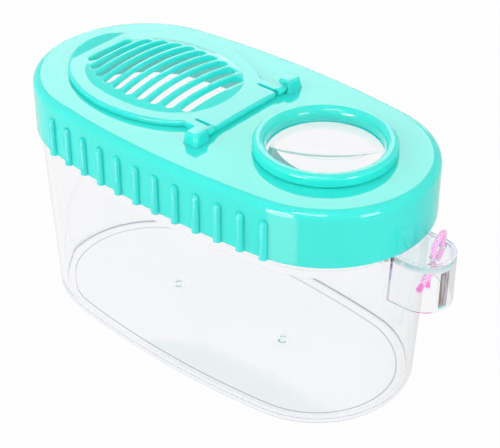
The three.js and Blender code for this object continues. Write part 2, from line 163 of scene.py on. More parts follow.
LOOP_ROUTE = (
    (80.6, 1.5, 57.3), (81.7, -0.8, 60.6), (81.7, -0.8, 63), (81.7, -0.8, 65.8),
    (81.9, -0.5, 67.1), (82, 0.2, 68.3), (81.9, 1.4, 69), (81.7, 2.7, 69.3),
    (81.3, 4.1, 69), (81, 5.2, 68.3), (80.5, 5.9, 67.1), (80.2, 6.2, 65.8),
    (80.2, 6.2, 63), (80.2, 6.2, 60.6), (80.2, 3.5, 57.7),
)
KNOT_MIDDLE = (79.9, 1.4, 55.1)
TAIL_TIPS = ((78.7, -2.7, 49.7), (80.2, -0.2, 50.2))

SKIRT_BOTTOM = JAR_HEIGHT - SKIRT_HEIGHT
ROOF_UNDER = JAR_HEIGHT - ROOF_THICKNESS
NECK_TOP = ROOF_UNDER - REST_GAP
NECK_INNER = NECK_INSET + NECK_WALL
LEDGE_Z = SKIRT_BOTTOM - LEDGE_DROP
SLOPE_FOOT = LEDGE_Z - SHOULDER_SLOPE
LUG_TOP = SKIRT_BOTTOM - REST_GAP
LUG_FOOT = LUG_TOP - LUG_HEIGHT
PLATE_TOP = LUG_TOP - LUG_RECESS
PLATE_UNDER = PLATE_TOP - LUG_PLATE
HATCH_UNDER = JAR_HEIGHT + REST_GAP
HATCH_TOP = HATCH_UNDER + HATCH_THICKNESS
HINGE_Z = HATCH_UNDER + BARREL_RADIUS
EAR_INNER = ARM_OUTER + REST_GAP
EAR_BACK = HINGE_X - EAR_BEHIND
EAR_FRONT = EAR_BACK + EAR_LENGTH
LIP_X = HATCH_MIDDLE - HATCH_HALF_LENGTH + LIP_LENGTH

# Fine edges, in millimetres: (inset, drop) pairs run round an edge, and (spread, rise) pairs up a foot. Each
# hold is how close to an edge a ring lies, so that the edge's shading stays narrow
TANK_HOLD = 0.3
SLOPE_HOLD = 0.4
SKIRT_HOLD = 0.2
ROOF_HOLD = 0.25
HOLE_HOLD = 0.45
PLATE_HOLD = 0.15
RING_HOLD = 0.12
CUT_PAST = 2
EDGE_SOFT = 0.3
SOFT_EDGE = ((0, EDGE_SOFT), (EDGE_SOFT * 0.3, EDGE_SOFT * 0.3), (EDGE_SOFT, 0))
LUG_EDGE = ((0, 0.35), (0.1, 0.1), (0.35, 0))
LUG_FOOT_BEVEL = 0.3
CAVITY_OVERLAP = 0.05
ROOF_FILLET = ((1.2, 0), (1.0, 0), (0.3, 0.3), (0, 1.0))
SKIRT_INNER_BEVEL = 0.2
SKIRT_FOOT_ROUND = 0.3
HOLE_EDGE = 0.25
EAR_FOOT = ((0.25, -0.5), (0.25, 0), (0.07, 0.07), (0, 0.3))
PLATE_CORNERS = (0.5, 0.45, 0.45, 0.4, 0.4, 2.2)
PLATE_EDGE = 0.85
SLIT_EDGE = 0.3
SLIT_EDGE_MOST = 0.34
SLIT_NEAR_Y = 13.7
SLOT_EDGE = 0.45
BARREL_END_ROUND = 0.2
PIN_END_ROUND = 0.3
PLUG_BEVEL = 0.3
PLUG_SINK = 0.3
SPIGOT_BEVEL = 0.2

# How far apart the points lie on the plate's and the slots' outlines and over the dome
PLATE_SPACING = 0.9
SLOT_SPACING = 0.8
DOME_SPACING = 1.15
DOME_ROW_SPACING = 0.94
DOME_INSIDE = 0.965
DOME_EDGE_RINGS = (0.985, 1.0, 1.015)
LIP_SPACING = 1.1
CLEAR_ABOVE = 0.4
CLEAR_BELOW = 0.5

# The round mould marks in the tank's floor, as (radius, depth) pairs inwards
MARK_PROFILE = ((2.7, 0), (2.35, 0.3), (1.5, 0.3), (1.15, 0.05))

# The tank's thin painted dark lines, which stand in for the refraction at its edges: how far they reach to
# each side, where the one under the base lies, and how high up the tank lines are kept
LINE_REACH = 0.22
BASE_LINE_INSET = 5.2
BASE_LINE_REACH = 0.42
LINES_BELOW = 5.0

# The cord's braid, its knot and the strands of its frayed tails
CORD_SIDES = 36
BRAID_STRANDS = 6
BRAID_PITCH = 1.5
BRAID_DEPTH = 0.09
KNOT_STEPS = 180
KNOT_SHARE = 0.93
KNOT_START = 0.3
KNOT_BULGE = (1.35, 0.55)
KNOT_SPREAD = (0.62, 1.02, 0.95)
KNOT_TIGHTNESS = 0.86
TAIL_GIRTH = 1.15
TAIL_THINNER = 0.3
STEM_SHARE = 0.66
STEM_BOW = 0.6
TAIL_STRANDS = 38
STRAND_RADIUS = 0.16
STRAND_TAPER = -0.06
STRAND_SIDES = 5
ROOT_DEPTH = 0.5
ROOT_SPREAD = 0.38
MIDDLE_SHARE = 0.55
MIDDLE_SPREAD = 0.35
TIP_SPREAD = 0.85
TIP_HEIGHT = 0.6
TIP_LIFT = 0.35

# Where the lug's painted light and shade lie, standing in for the light bent and mirrored in its thick clear
# plastic: a dark root, a pale matt rim, and a dark streaked band down its tip with a teal foot. In
# millimetres,
# or degrees round its tip: a pair fades in from the first to the second, and four fade in and out again
ROOT_SHADE_X = (70.5, 71.5, 74.5, 76.0)
ROOT_SHADE_Z = (62.2, 61.2)
ROOT_SHADE_FADE_Z = (53.0, 51.5)
RIM_LIGHT_X = (73.3, 73.7)
RIM_LIGHT_Z = (61.2, 61.4, 63.5, 63.56)
RIM_LIGHT_SHARE = 0.72
BAND_TURNS = (-25.6, -6.6)
BAND_SOFT_TURN = 1.2
BAND_OUT = (7.8, 8.0)
BAND_Z = (47.8, 48.0, 60.8, 61.2)
BAND_SHADE_SHARE = 0.85
BAND_GREEN_Z = (48.9, 48.6)

# Camera, in metres, and light
CAMERA_PLACE = (0.27032, -0.30125, 0.31375)
LAMP_TARGET = (0.02, 0, JAR_HEIGHT * MM)
FLOOR_HALF = 6000
FLOOR_Z = -0.05
FLOOR_GLOW_SEEN = 0.97
FLOOR_GLOW_THROUGH = 0.86
WORLD_LIGHT = 0.58
LOW_BACK_DIM = 0.25
LOW_BACK_Z = (-0.02, -0.2)
LOW_BACK_Y = (0.0, 0.5)

# Lamps and the cards that only the gloss shows: name, azimuth from the jar's near side and elevation in
# degrees, distance and size in metres, radiance, and the finish that it is kept for
SOFT_BOXES = (
    ("key_lamp", 25.0, 45.0, 1.0, (0.6, 0.6), 1.3, ""),
    ("near_lamp", 10.0, 10.0, 1.0, (0.5, 0.35), 2.1, ""),
    ("left_lamp", -50.0, 25.0, 1.0, (0.45, 0.45), 4.0, ""),
    ("right_lamp", 100.0, 25.0, 1.0, (0.45, 0.45), 1.8, ""),
    ("cord_lamp", 45.0, 30.0, 1.0, (0.4, 0.4), 6.5, "pink_braid"),
    ("back_card", 222.5, 30.5, 3.0, (1.17, 0.79), 2.8, "turquoise_gloss"),
    ("back_low_card", 220.0, 12.0, 3.0, (2.2, 0.8), 2.0, "turquoise_gloss"),
    ("front_card", 25.0, 49.0, 1.0, (0.45, 0.28), 10.0, "turquoise_gloss"),
    ("near_low_card", -0.5, -40.0, 2.0, (0.88, 0.66), 1.9, "turquoise_gloss"),
    ("near_middle_card", -0.5, -18.0, 2.0, (0.88, 0.90), 6.0, "turquoise_gloss"),
    ("near_high_card", -0.5, 9.0, 2.0, (0.88, 0.92), 12.0, "turquoise_gloss"),
    ("side_card", 81.0, 9.0, 2.0, (0.63, 0.92), 8.0, "turquoise_gloss"),
)

END_STEPS = 56
SIDE_STEPS = 40
ROUND_SIDES = 144
RIB_DOME_RINGS = 10
RIB_DOME_STEP = math.radians(9.7)
SHARP_ANGLE = math.radians(38)


def metres(sizes):
    return tuple(size * MM for size in sizes)


# Outlines: points in plan, with the material on the left of the way round

def side_radius(half_length, half_width, end_radius):
    """The radius of an oval's flatter sides, which meet its ends in tangents."""
    end_x = half_length - end_radius
    return (end_x ** 2 + half_width ** 2 - end_radius ** 2) / (2 * (half_width - end_radius))


def oval(half_length, half_width, end_radius, inset=0.0):
    """Two end arcs and two flatter side arcs, drawn in by an inset."""
    end_x = half_length - end_radius
    long_radius = side_radius(half_length, half_width, end_radius)
    side_y = long_radius - half_width
    end_turn = math.pi / 2 - math.atan2(end_x, side_y)
    arcs = (
        (end_x, 0, end_radius, -end_turn, end_turn, END_STEPS),
        (0, -side_y, long_radius, end_turn, math.pi - end_turn, SIDE_STEPS),
        (-end_x, 0, end_radius, math.pi - end_turn, math.pi + end_turn, END_STEPS),
        (0, side_y, long_radius, math.pi + end_turn, 2 * math.pi - end_turn, SIDE_STEPS),
    )
    points = []
    for x, y, radius, start, end, steps in arcs:
        for i in range(steps):
            turn = start + (end - start) * i / steps
            points.append((x + (radius - inset) * math.cos(turn), y + (radius - inset) * math.sin(turn)))
    return points


def lid_oval(inset=0.0):
    return oval(LID_HALF_LENGTH, LID_HALF_WIDTH, LID_END_RADIUS, inset)


def body_oval(z, inset=0.0):
    """The tank's outline at a height, tapered towards the base."""
    share = 1 - z / LEDGE_Z
    return oval(
        LID_HALF_LENGTH - BODY_INSET - TAPER_LENGTH * share,
        LID_HALF_WIDTH - BODY_INSET - TAPER_WIDTH * share,
        LID_END_RADIUS - BODY_INSET - TAPER_END_RADIUS * share,
        inset,
    )


def between(first, last, share):
    """An outline part of the way from one to another with as many points."""
    return [(a + (c - a) * share, b + (d - b) * share) for (a, b), (c, d) in zip(first, last)]


def circle(x, y, radius, steps=ROUND_SIDES):
    turns = [2 * math.pi * i / steps for i in range(steps)]
    return [(x + radius * math.cos(t), y + radius * math.sin(t)) for t in turns]


def grille_oval(inset=0.0, share=1.0, steps=200):
    """The grille's outline: an ellipse with fuller quarters."""
    points = []
    for i in range(steps):
        turn = 2 * math.pi * i / steps
        x, y = (math.copysign(abs(c) ** (2 / DOME_POWER), c) for c in (math.cos(turn), math.sin(turn)))
        points.append((
            HATCH_MIDDLE + share * (DOME_HALF_LENGTH - inset) * x,
            share * (DOME_HALF_WIDTH - inset) * y,
        ))
    return points


def grille_share(x, y, inset=0.0):
    """0 in the grille's middle and 1 on its outline."""
    across = abs(x - HATCH_MIDDLE) / (DOME_HALF_LENGTH - inset)
    along = abs(y) / (DOME_HALF_WIDTH - inset)
    return (across ** DOME_POWER + along ** DOME_POWER) ** (1 / DOME_POWER)


def rounded(corners, steps=6):
    """A polygon from (x, y, radius) corners, each drawn as an arc where its radius isn't zero."""
    points = []
    count = len(corners)
    for i, (x, y, radius) in enumerate(corners):
        if radius == 0:
            points.append((x, y))
            continue
        here = Vector((x, y))
        back = (Vector(corners[i - 1][:2]) - here).normalized()
        ahead = (Vector(corners[(i + 1) % count][:2]) - here).normalized()
        half = back.angle(ahead) / 2
        middle = here + (back + ahead).normalized() * radius / math.sin(half)
        first = here + back * radius / math.tan(half) - middle
        last = here + ahead * radius / math.tan(half) - middle
        sweep = first.angle_signed(last)
        for k in range(steps + 1):
            turned = first.copy()
            turned.rotate(Matrix.Rotation(-sweep * k / steps, 2))
            points.append(tuple(middle + turned))
    return points


def shifted(outline, distance):
    """The outline moved to its left, by one distance or by one for each point."""
    points = np.array(outline, float)
    before = points - np.roll(points, 1, 0)
    after = np.roll(points, -1, 0) - points
    before /= np.linalg.norm(before, axis=1)[:, None]
    after /= np.linalg.norm(after, axis=1)[:, None]
    left = np.stack([-(before + after)[:, 1], (before + after)[:, 0]], 1)
    left /= (1 + (before * after).sum(1))[:, None]
    return points + left * np.broadcast_to(np.asarray(distance, float).reshape(-1, 1), left.shape)


def resampled(outline, spacing):
    """Extra points on the long edges of an outline."""
    points = []
    for i, here in enumerate(outline):
        ahead = outline[(i + 1) % len(outline)]
        parts = max(1, round(math.dist(here, ahead) / spacing))
        for k in range(parts):
            points.append(tuple(a + (b - a) * k / parts for a, b in zip(here, ahead)))
    return points


def within(points, loops):
    """Which points lie inside the first loop and outside the others."""
    points = np.asarray(points, float).reshape(-1, 2)
    hit = np.zeros(len(points), int)
    px, py = points[:, :1], points[:, 1:]
    for loop in loops:
        a = np.asarray(loop, float)[:, :2]
        b = np.roll(a, -1, 0)
        crosses = (a[:, 1] > py) != (b[:, 1] > py)
        rise = np.where(b[:, 1] == a[:, 1], 1e-9, b[:, 1] - a[:, 1])
        hit += (crosses & (px < (b[:, 0] - a[:, 0]) * (py - a[:, 1]) / rise + a[:, 0])).sum(1)
    return hit % 2 == 1


def quarter(radius, steps):
    """(inset, drop) pairs round an edge, from upright to flat."""
    turns = [(math.pi / 2) * i / steps for i in range(steps + 1)]
    return [(radius * (1 - math.cos(t)), radius * (1 - math.sin(t))) for t in turns]


def section(middle, along, side, reaches):
    """Points round a bar or a cord, one for each reach, from a side that is square to its run."""
    up = along.cross(side)
    turns = [2 * math.pi * k / len(reaches) for k in range(len(reaches))]
    return [tuple(middle + (side * math.cos(t) + up * math.sin(t)) * r) for t, r in zip(turns, reaches)]


class Skin:
    """The points, in millimetres, and the faces of one piece."""

    def __init__(self):
        self.points = []
        self.faces = []

    def ring(self, outline, z=None):
        """Adds points, at one height or at one for each where they have none of their own."""
        first = len(self.points)
        for i, point in enumerate(outline):
            height = z[i] if isinstance(z, list) else z
            self.points.append(tuple(point) if z is None else (point[0], point[1], height))
        return list(range(first, len(self.points)))

    def chain(self, rings):
        """Joins rings in order, and gives back the first and the last."""
        for lower, upper in zip(rings, rings[1:]):
            for i in range(len(lower)):
                j = (i + 1) % len(lower)
                self.faces.append((lower[i], lower[j], upper[j], upper[i]))
        return rings[0], rings[-1]

    def loft(self, rings):
        """Joins (outline, height) rings in order, and gives back the first and the last."""
        return self.chain([self.ring(outline, z) for outline, z in rings])

    def fill(self, loops, height=None, extra=(), up=True):
        """Triangles inside the first loop and outside the others, through extra points at their height."""
        ids = [i for loop in loops for i in loop]
        flat = [Vector(self.points[i][:2]) for i in ids] + [Vector(p) for p in extra]
        edges = []
        for loop in loops:
            start = len(edges)
            edges += [(start + k, start + (k + 1) % len(loop)) for k in range(len(loop))]
        spots, _, faces, origins, _, _ = delaunay_2d_cdt(flat, edges, [], 0, 1e-6)
        flat_z = self.points[loops[0][0]][2]
        known = []
        for spot, origin in zip(spots, origins):
            if origin and origin[0] < len(ids):
                known.append(ids[origin[0]])
                continue
            self.points.append((spot.x, spot.y, height(spot.x, spot.y) if height else flat_z))
            known.append(len(self.points) - 1)
        places = np.array([tuple(s) for s in spots])
        corners = np.array([tuple(f) for f in faces])
        keep = within(places[corners].mean(1), self.plan(loops))
        for face in corners[keep]:
            a, b, c = places[face]
            turn = (b[0] - a[0]) * (c[1] - a[1]) - (b[1] - a[1]) * (c[0] - a[0])
            order = [known[k] for k in face]
            self.faces.append(tuple(order if (turn > 0) == up else order[::-1]))

    def plan(self, loops):
        """Loops of points as seen from above."""
        return [[self.points[i][:2] for i in loop] for loop in loops]

    def cap(self, ring, up=True, middle=None):
        """A fan of triangles over a ring, from the middle of its points or from another."""
        self.points.append(middle or tuple(np.mean([self.points[i] for i in ring], 0)))
        centre = len(self.points) - 1
        for i, a in enumerate(ring):
            b = ring[(i + 1) % len(ring)]
            self.faces.append((centre, a, b) if up else (centre, b, a))

    def rim(self, outline, radius, height, steps):
        """A rounded upper edge under a height. Gives back its lowest ring and its ring on the top."""
        radius = np.broadcast_to(np.asarray(radius, float), (len(outline),))
        made = []
        for k in range(steps + 1):
            turn = (math.pi / 2) * (1 - k / steps)
            plan = shifted(outline, radius * (1 - math.sin(turn)))
            top = np.array([height(x, y) if callable(height) else height for x, y in plan])
            made.append(self.ring(plan, list(top - radius * (1 - math.cos(turn)))))
        return self.chain(made)

    def drum(self, start, end, radius, sides, round_end=0.0):
        """A closed round bar between two points, with its ends rounded over."""
        start, end = Vector(start), Vector(end)
        along = (end - start).normalized()
        side = along.orthogonal().normalized()
        length = (end - start).length
        tip = [(0, radius)]
        if round_end:
            tip = [(drop, radius - inset) for inset, drop in quarter(round_end, 4)]
        places = tip[::-1] + [(length - s, r) for s, r in tip]
        first, last = self.chain([
            self.ring(section(start + along * s, along, side, [r] * sides)) for s, r in places
        ])
        self.cap(first, up=False)
        self.cap(last)

    def piece(self, name, *finishes):
        """Makes the object, in metres, with smooth faces and sharp creases."""
        mesh = bpy.data.meshes.new(name)
        mesh.from_pydata([metres(point) for point in self.points], [], self.faces)
        mesh.validate()
        for finish in finishes:
            mesh.materials.append(finish)
        made = bpy.data.objects.new(name, mesh)
        bpy.context.scene.collection.objects.link(made)
        soften(made)
        return made


def soften(piece):
    """Smooth faces and sharp creases."""
    piece.data.shade_smooth()
    piece.data.set_sharp_from_angle(angle=SHARP_ANGLE)


def solid(name, rings):
    """A closed lofted solid with flat ends."""
    skin = Skin()
    first, last = skin.loft(rings)
    skin.fill([first], up=False)
    skin.fill([last])
    return skin.piece(name)


def carve(target, tool, operation):
    """Joins or cuts a solid with another, which is then gone."""
    modifier = target.modifiers.new("shape", "BOOLEAN")
    modifier.object = tool
    modifier.solver = "EXACT"
    modifier.operation = operation
    made = evaluated(target)
    finishes = [finish for finish in made.materials if finish]
    made.materials.clear()
    for finish in finishes[:1]:
        made.materials.append(finish)
    made.polygons.foreach_set("material_index", [0] * len(made.polygons))
    old = target.data
    target.data = made
    bpy.data.meshes.remove(old)
    bpy.data.objects.remove(tool)


def evaluated(piece):
    """A piece's mesh with its modifiers in it, which are then gone."""
    bpy.context.view_layer.update()
    depsgraph = bpy.context.evaluated_depsgraph_get()
    made = bpy.data.meshes.new_from_object(piece.evaluated_get(depsgraph))
    piece.modifiers.clear()
    return made


def cut(target, rings):
    """Takes a lofted solid out of a piece."""
    carve(target, solid("cut", rings), "DIFFERENCE")


def settle(piece, body, slot_name, *nodes):
    """Puts a finished piece on its body, in place of the solids that it stands for."""
    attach(piece, body)
    if nodes:
        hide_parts(*nodes)


# Materials

class Nodes:
    """Short hand for the nodes of a finish, of the world or of a geometry tree."""

    def __init__(self, owner):
        self.owner = owner
        if hasattr(owner, "use_nodes"):
            owner.use_nodes = True
        self.tree = getattr(owner, "node_tree", owner)
        self.tree.nodes.clear()

    def node(self, kind, values=(), **settings):
        made = self.tree.nodes.new(kind)
        for key, value in settings.items():
            setattr(made, key, value)
        for key, value in dict(values).items():
            self.fit(made.inputs[key], value)
        return made

    def fit(self, socket, value):
        """Links another node's output to a socket, or sets a value on it."""
        if isinstance(value, bpy.types.NodeSocket):
            self.tree.links.new(value, socket)
        else:
            socket.default_value = value

    def calc(self, operation, a, b=0.0, c=0.0):
        return self.node("ShaderNodeMath", {0: a, 1: b, 2: c}, operation=operation).outputs[0]

    def product(self, first, *others):
        for other in others:
            first = self.calc("MULTIPLY", first, other)
        return first

    def combine(self, x=0.0, y=0.0, z=0.0):
        return self.node("ShaderNodeCombineXYZ", {"X": x, "Y": y, "Z": z}).outputs[0]

    def axes(self, place):
        return self.node("ShaderNodeSeparateXYZ", {0: place}).outputs

    def place(self, scale=(1, 1, 1)):
        """Object coordinates, in metres where they aren't scaled."""
        spot = self.node("ShaderNodeTexCoord").outputs["Object"]
        return self.node("ShaderNodeMapping", {"Vector": spot, "Scale": scale}).outputs["Vector"]

    def noise(self, scale, detail=2.0, stretch=(1, 1, 1)):
        """A pattern with that many repeats to the metre."""
        return self.node("ShaderNodeTexNoise", {
            "Vector": self.place(stretch), "Scale": scale, "Detail": detail,
        }).outputs["Fac"]

    def span(self, value, low, high):
        return self.node("ShaderNodeMapRange", {
            "Value": value, "To Min": low, "To Max": high,
        }).outputs["Result"]

    def ramp(self, value, start, end):
        """0 at the start and 1 at the end, and level beyond them."""
        return self.node("ShaderNodeMapRange", {
            "Value": value, "From Min": start, "From Max": end,
        }).outputs["Result"]

    def window(self, value, start, full, last, end):
        """0 at the start, 1 from full to last, and 0 again at the end."""
        return self.product(self.ramp(value, start, full), self.ramp(value, end, last))

    def bump(self, height, strength, distance):
        return self.node("ShaderNodeBump", {
            "Height": height, "Strength": strength, "Distance": distance,
        }).outputs["Normal"]

    def blend(self, share, low, high):
        """A colour between two, by a share."""
        made = self.node("ShaderNodeMix", {0: share}, data_type="RGBA")
        colours = [socket for socket in made.inputs if socket.type == "RGBA"]
        for socket, value in zip(colours, (low, high)):
            self.fit(socket, value)
        return [socket for socket in made.outputs if socket.type == "RGBA"][0]

    def either(self, share, first, second):
        """One shader or another, by a share."""
        return self.node("ShaderNodeMixShader", {0: share, 1: first, 2: second}).outputs[0]

    def finish(self, shader, kind="ShaderNodeOutputMaterial"):
        self.node(kind, {"Surface": shader})
        return self.owner


def gloss_plastic(t, colour):
    """Moulded opaque plastic: a deep even colour with a faint flow of tone and a slightly wavy gloss."""
    tone = t.blend(
        t.noise(38, 3),
        (*[c * 0.97 for c in colour], 1),
        (*[min(1, c * 1.03) for c in colour], 1),
    )
    shader = t.node("ShaderNodeBsdfPrincipled", {
        "Base Color": tone,
        "Roughness": t.span(t.noise(160, 2), 0.035, 0.055),
        "IOR": 1.5,
        "Specular Tint": (1.0, 0.40, 0.50, 1.0),
        "Normal": t.bump(t.noise(420, 2), 0.012, 0.0004),
        "Subsurface Weight": 0.8,
        "Subsurface Radius": (0.15, 1.0, 0.85),
        "Subsurface Scale": 0.0025,
    })
    return t.finish(shader.outputs["BSDF"])


def braid(t, colour):
    """Braided cord: bright crossings of the strands over a pale core, on the cord's own UV map."""
    spot = t.axes(t.node("ShaderNodeUVMap", uv_map="UVMap").outputs["UV"])
    around, along = (t.calc("COSINE", t.product(spot[axis], 2 * math.pi)) for axis in ("X", "Y"))
    dots = t.ramp(t.product(around, along), -0.1, 0.45)
    pale = tuple(c + (1 - c) * 0.60 for c in colour)
    shader = t.node("ShaderNodeBsdfPrincipled", {
        "Base Color": t.blend(dots, (*pale, 1), (*colour, 1)), "Roughness": 0.8, "Sheen Weight": 0.8,
        "Normal": t.bump(t.noise(4200, 2), 0.35, 0.0001),
    })
    return t.finish(shader.outputs["BSDF"])


def mirrored_light_tints(t, edge_tint, lug_painted_shade):
    """The tint of light mirrored inside thick places: pale in the tank and the lug's tip, and a painted
    brown shade high at the lug's root, standing in for the dark reflections there.
    """
    spot = t.axes(t.place())
    # Painted brown shade at the lug's root, fading to pale lower down
    painted_brown = (*[c * f for c, f in zip(lug_painted_shade, (1.15, 0.85, 0.65))], 1)
    tone = t.blend(t.span(t.noise(260, 1), 0, 1), painted_brown, (*lug_painted_shade, 1))
    tone = t.blend(t.ramp(spot["Z"], *metres(ROOT_SHADE_FADE_Z)), tone, (0.80, 0.82, 0.93, 1))
    root = t.product(t.window(spot["X"], *metres(ROOT_SHADE_X)), t.ramp(spot["Z"], *metres(ROOT_SHADE_Z)))
    return t.blend(root, (*edge_tint, 1), tone)


def painted_edge_lines(t, painted_line_tint):
    """Painted dark lines along the tank's edges, standing in for the refraction there, from the attribute
    that its rings carry.
    """
    return ((t.node("ShaderNodeAttribute", attribute_name="painted_edge_line").outputs["Fac"], (*painted_line_tint, 1)),)


def lug_painted_light(t, lug_painted_shade):
    """Painted light and shade on the lug, as matt patches that stand in for the light bent in its thick
    clear plastic: a pale rim, and a dark streaked band down its tip with a green foot.
    """
    spot = t.axes(t.place())
    plate = t.calc("COMPARE", spot["Z"], PLATE_TOP * MM, 0.00005)
    rim = t.product(
        t.window(spot["Z"], *metres(RIM_LIGHT_Z)),
        t.ramp(spot["X"], *metres(RIM_LIGHT_X)),
        t.calc("SUBTRACT", RIM_LIGHT_SHARE, t.product(plate, RIM_LIGHT_SHARE)),
    )
    # Painted pale light on the lug's rim
    rim_painted_light = t.blend(t.ramp(t.noise(240, 1), 0.35, 0.65), (0.76, 0.90, 0.92, 1), (0.90, 0.93, 0.99, 1))
    out = t.calc("SUBTRACT", spot["X"], LUG_MIDDLE_X * MM)
    low, high = (math.radians(turn) for turn in BAND_TURNS)
    soft = math.radians(BAND_SOFT_TURN)
    band = t.product(
        t.window(t.calc("ARCTAN2", spot["Y"], out), low - soft, low, high, high + soft),
        t.ramp(out, *metres(BAND_OUT)),
        t.window(spot["Z"], *metres(BAND_Z)),
        BAND_SHADE_SHARE,
    )
    # Painted shade down the band: dark streaks among pale ones, and a teal foot
    painted_brown = (*[c * f for c, f in zip(lug_painted_shade, (0.50, 0.38, 0.22))], 1)
    pale = (*[c ** 0.7 for c in lug_painted_shade], 1)
    tone = t.blend(t.ramp(t.noise(1500, 1, (1, 1, 0.1)), 0.42, 0.58), painted_brown, pale)
    tone = t.blend(t.ramp(spot["Z"], *metres(BAND_GREEN_Z)), tone, (0.34, 0.76, 0.80, 1))
    return ((rim, rim_painted_light), (band, tone))


def clear_plastic(t, tint, edges, ior, haze, most, marks=(), painted_matt=()):
    """Clear moulded plastic that bends the light, and lets the lamps through to what lies behind it.

    Light that has been mirrored often enough inside a wall leaves it straight on in the edge tint, and so
    does the light that meets one of the marks, in the mark's tone; the marks are painted dark lines. The
    painted matt places are patches of painted light and shade.
    """
    glass = t.node("ShaderNodeBsdfPrincipled", {
        "Base Color": (*tint, 1),
        "Roughness": t.span(t.noise(60, 2), haze * 0.6, haze),
        "IOR": ior,
        "Transmission Weight": 1.0,
        "Normal": t.bump(t.noise(90, 1), 0.02, 0.0004),
    })
    rays = t.node("ShaderNodeLightPath").outputs
    mirrored = t.calc("GREATER_THAN", rays["Glossy Depth"], most)
    soft = t.calc("MAXIMUM", rays["Is Shadow Ray"], rays["Is Diffuse Ray"])
    share = t.calc("MAXIMUM", mirrored, soft)
    colour = t.blend(mirrored, (*tint, 1), edges)
    for place, tone in marks:
        share = t.calc("MAXIMUM", share, place)
        colour = t.blend(place, colour, tone)
    thin = t.node("ShaderNodeBsdfTransparent", {"Color": colour})
    shader = t.either(share, glass.outputs["BSDF"], thin.outputs["BSDF"])
    # Patches of painted light and shade, as matt colour
    for place, tone in painted_matt:
        matt = t.node("ShaderNodeBsdfDiffuse", {"Color": tone})
        shader = t.either(place, shader, matt.outputs[0])
    return t.finish(shader)


def material(name):
    """One of the jar's finishes, made when it is first asked for."""
    found = bpy.data.materials.get(name)
    if found:
        return found
    look = bpy.context.scene.bug_jar_look
    t = Nodes(bpy.data.materials.new(name))
    if name == "turquoise_gloss":
        return gloss_plastic(t, look.lid_colour)
    if name == "pink_braid":
        return braid(t, look.cord_colour)
    if name == "clear_lens":
        return clear_plastic(t, look.lens_tint, (1, 1, 1, 1), 1.49, 0.01, 1.5)
    return clear_plastic(
        t, look.tank_tint, mirrored_light_tints(t, look.edge_tint, look.lug_painted_shade), 1.57, 0.03, 2.5,
        painted_edge_lines(t, look.painted_line_tint), lug_painted_light(t, look.lug_painted_shade),
    )


# Pieces

def tube(skin, route, radius, sides, growth=0.0, braided=False):
    """A closed tube along a list of points, its section carried along without twist.

    Its radius grows from end to end. Gives back each ring with its distance along the tube.
    """
    points = [Vector(p) for p in route]
    tangents = [(b - a).normalized() for a, b in zip([points[0], *points], [*points[1:], points[-1]])]
    side = tangents[0].orthogonal().normalized()
    run = 0.0
    made = []
    for i, (here, tangent) in enumerate(zip(points, tangents)):
        side = (side - tangent * side.dot(tangent)).normalized()
        run += (here - points[i - 1]).length if i else 0
        reaches = [radius + growth * i / (len(points) - 1)] * sides
        if braided:
            wave = math.cos(2 * math.pi * run / BRAID_PITCH)
            for k in range(sides):
                crossing = math.cos(BRAID_STRANDS * (2 * math.pi * k / sides)) * wave
                reaches[k] -= BRAID_DEPTH * (1 - crossing) / 2
        made.append((skin.ring(section(here, tangent, side, reaches)), run))
    first, last = skin.chain([ring for ring, _ in made])
    skin.cap(first, up=False)
    skin.cap(last)
    return made


def mix(a, b, start, end, time):
    """The point at a time, where one point has the start and another the end."""
    return (end - time) / (end - start) * a + (time - start) / (end - start) * b


def smooth_route(points, steps):
    """Points on a centripetal curve through the given ones, at even steps."""
    knots = [np.array(p, float) for p in points]
    knots = [2 * knots[0] - knots[1], *knots, 2 * knots[-1] - knots[-2]]
    times = [0.0]
    for a, b in zip(knots, knots[1:]):
        times.append(times[-1] + math.sqrt(np.linalg.norm(b - a)))
    fine = []
    for i in range(1, len(knots) - 2):
        when = times[i - 1:i + 3]
        for k in range(24):
            time = when[1] + (when[2] - when[1]) * k / 24
            near = knots[i - 1:i + 3]
            for gap in (1, 2):
                near = [mix(near[j], near[j + 1], when[j], when[j + gap], time) for j in range(4 - gap)]
            fine.append(mix(*near, when[1], when[2], time))
    fine.append(knots[-2])
    lengths = np.cumsum([0] + [np.linalg.norm(b - a) for a, b in zip(fine, fine[1:])])
    wanted = np.linspace(0, lengths[-1], steps + 1)
    return [tuple(np.interp(w, lengths, [f[axis] for f in fine]) for axis in range(3)) for w in wanted]


def map_braid(piece, tubes):
    """UVs round and along each braided tube of a cord, a repeat for each crossing of its strands."""
    spots = {}
    for made in tubes:
        for ring, run in made:
            spots.update({v: (k / len(ring), run) for k, v in enumerate(ring)})
    layer = piece.data.uv_layers.new(name="UVMap").data
    for polygon in piece.data.polygons:
        corners = [spots.get(v, (0.0, 0.0)) for v in polygon.vertices]
        turns = [turn for turn, _ in corners]
        wraps = max(turns) - min(turns) > 0.5
        for loop, (turn, run) in zip(polygon.loop_indices, corners):
            turn += 1 if wraps and turn < 0.5 else 0
            layer[loop].uv = (turn * BRAID_STRANDS, run / BRAID_PITCH)


def knot_route():
    """The cord's way through its knot, in a trefoil with its ends apart."""
    points = []
    for i in range(KNOT_STEPS + 1):
        t = 2 * math.pi * i / KNOT_STEPS * KNOT_SHARE + KNOT_START
        bulge = KNOT_BULGE[0] + KNOT_BULGE[1] * math.cos(3 * t)
        points.append((
            KNOT_MIDDLE[0] + bulge * math.cos(2 * t) * KNOT_SPREAD[0],
            KNOT_MIDDLE[1] + bulge * math.sin(2 * t) * KNOT_SPREAD[1],
            KNOT_MIDDLE[2] + KNOT_SPREAD[2] * math.sin(3 * t),
        ))
    return points


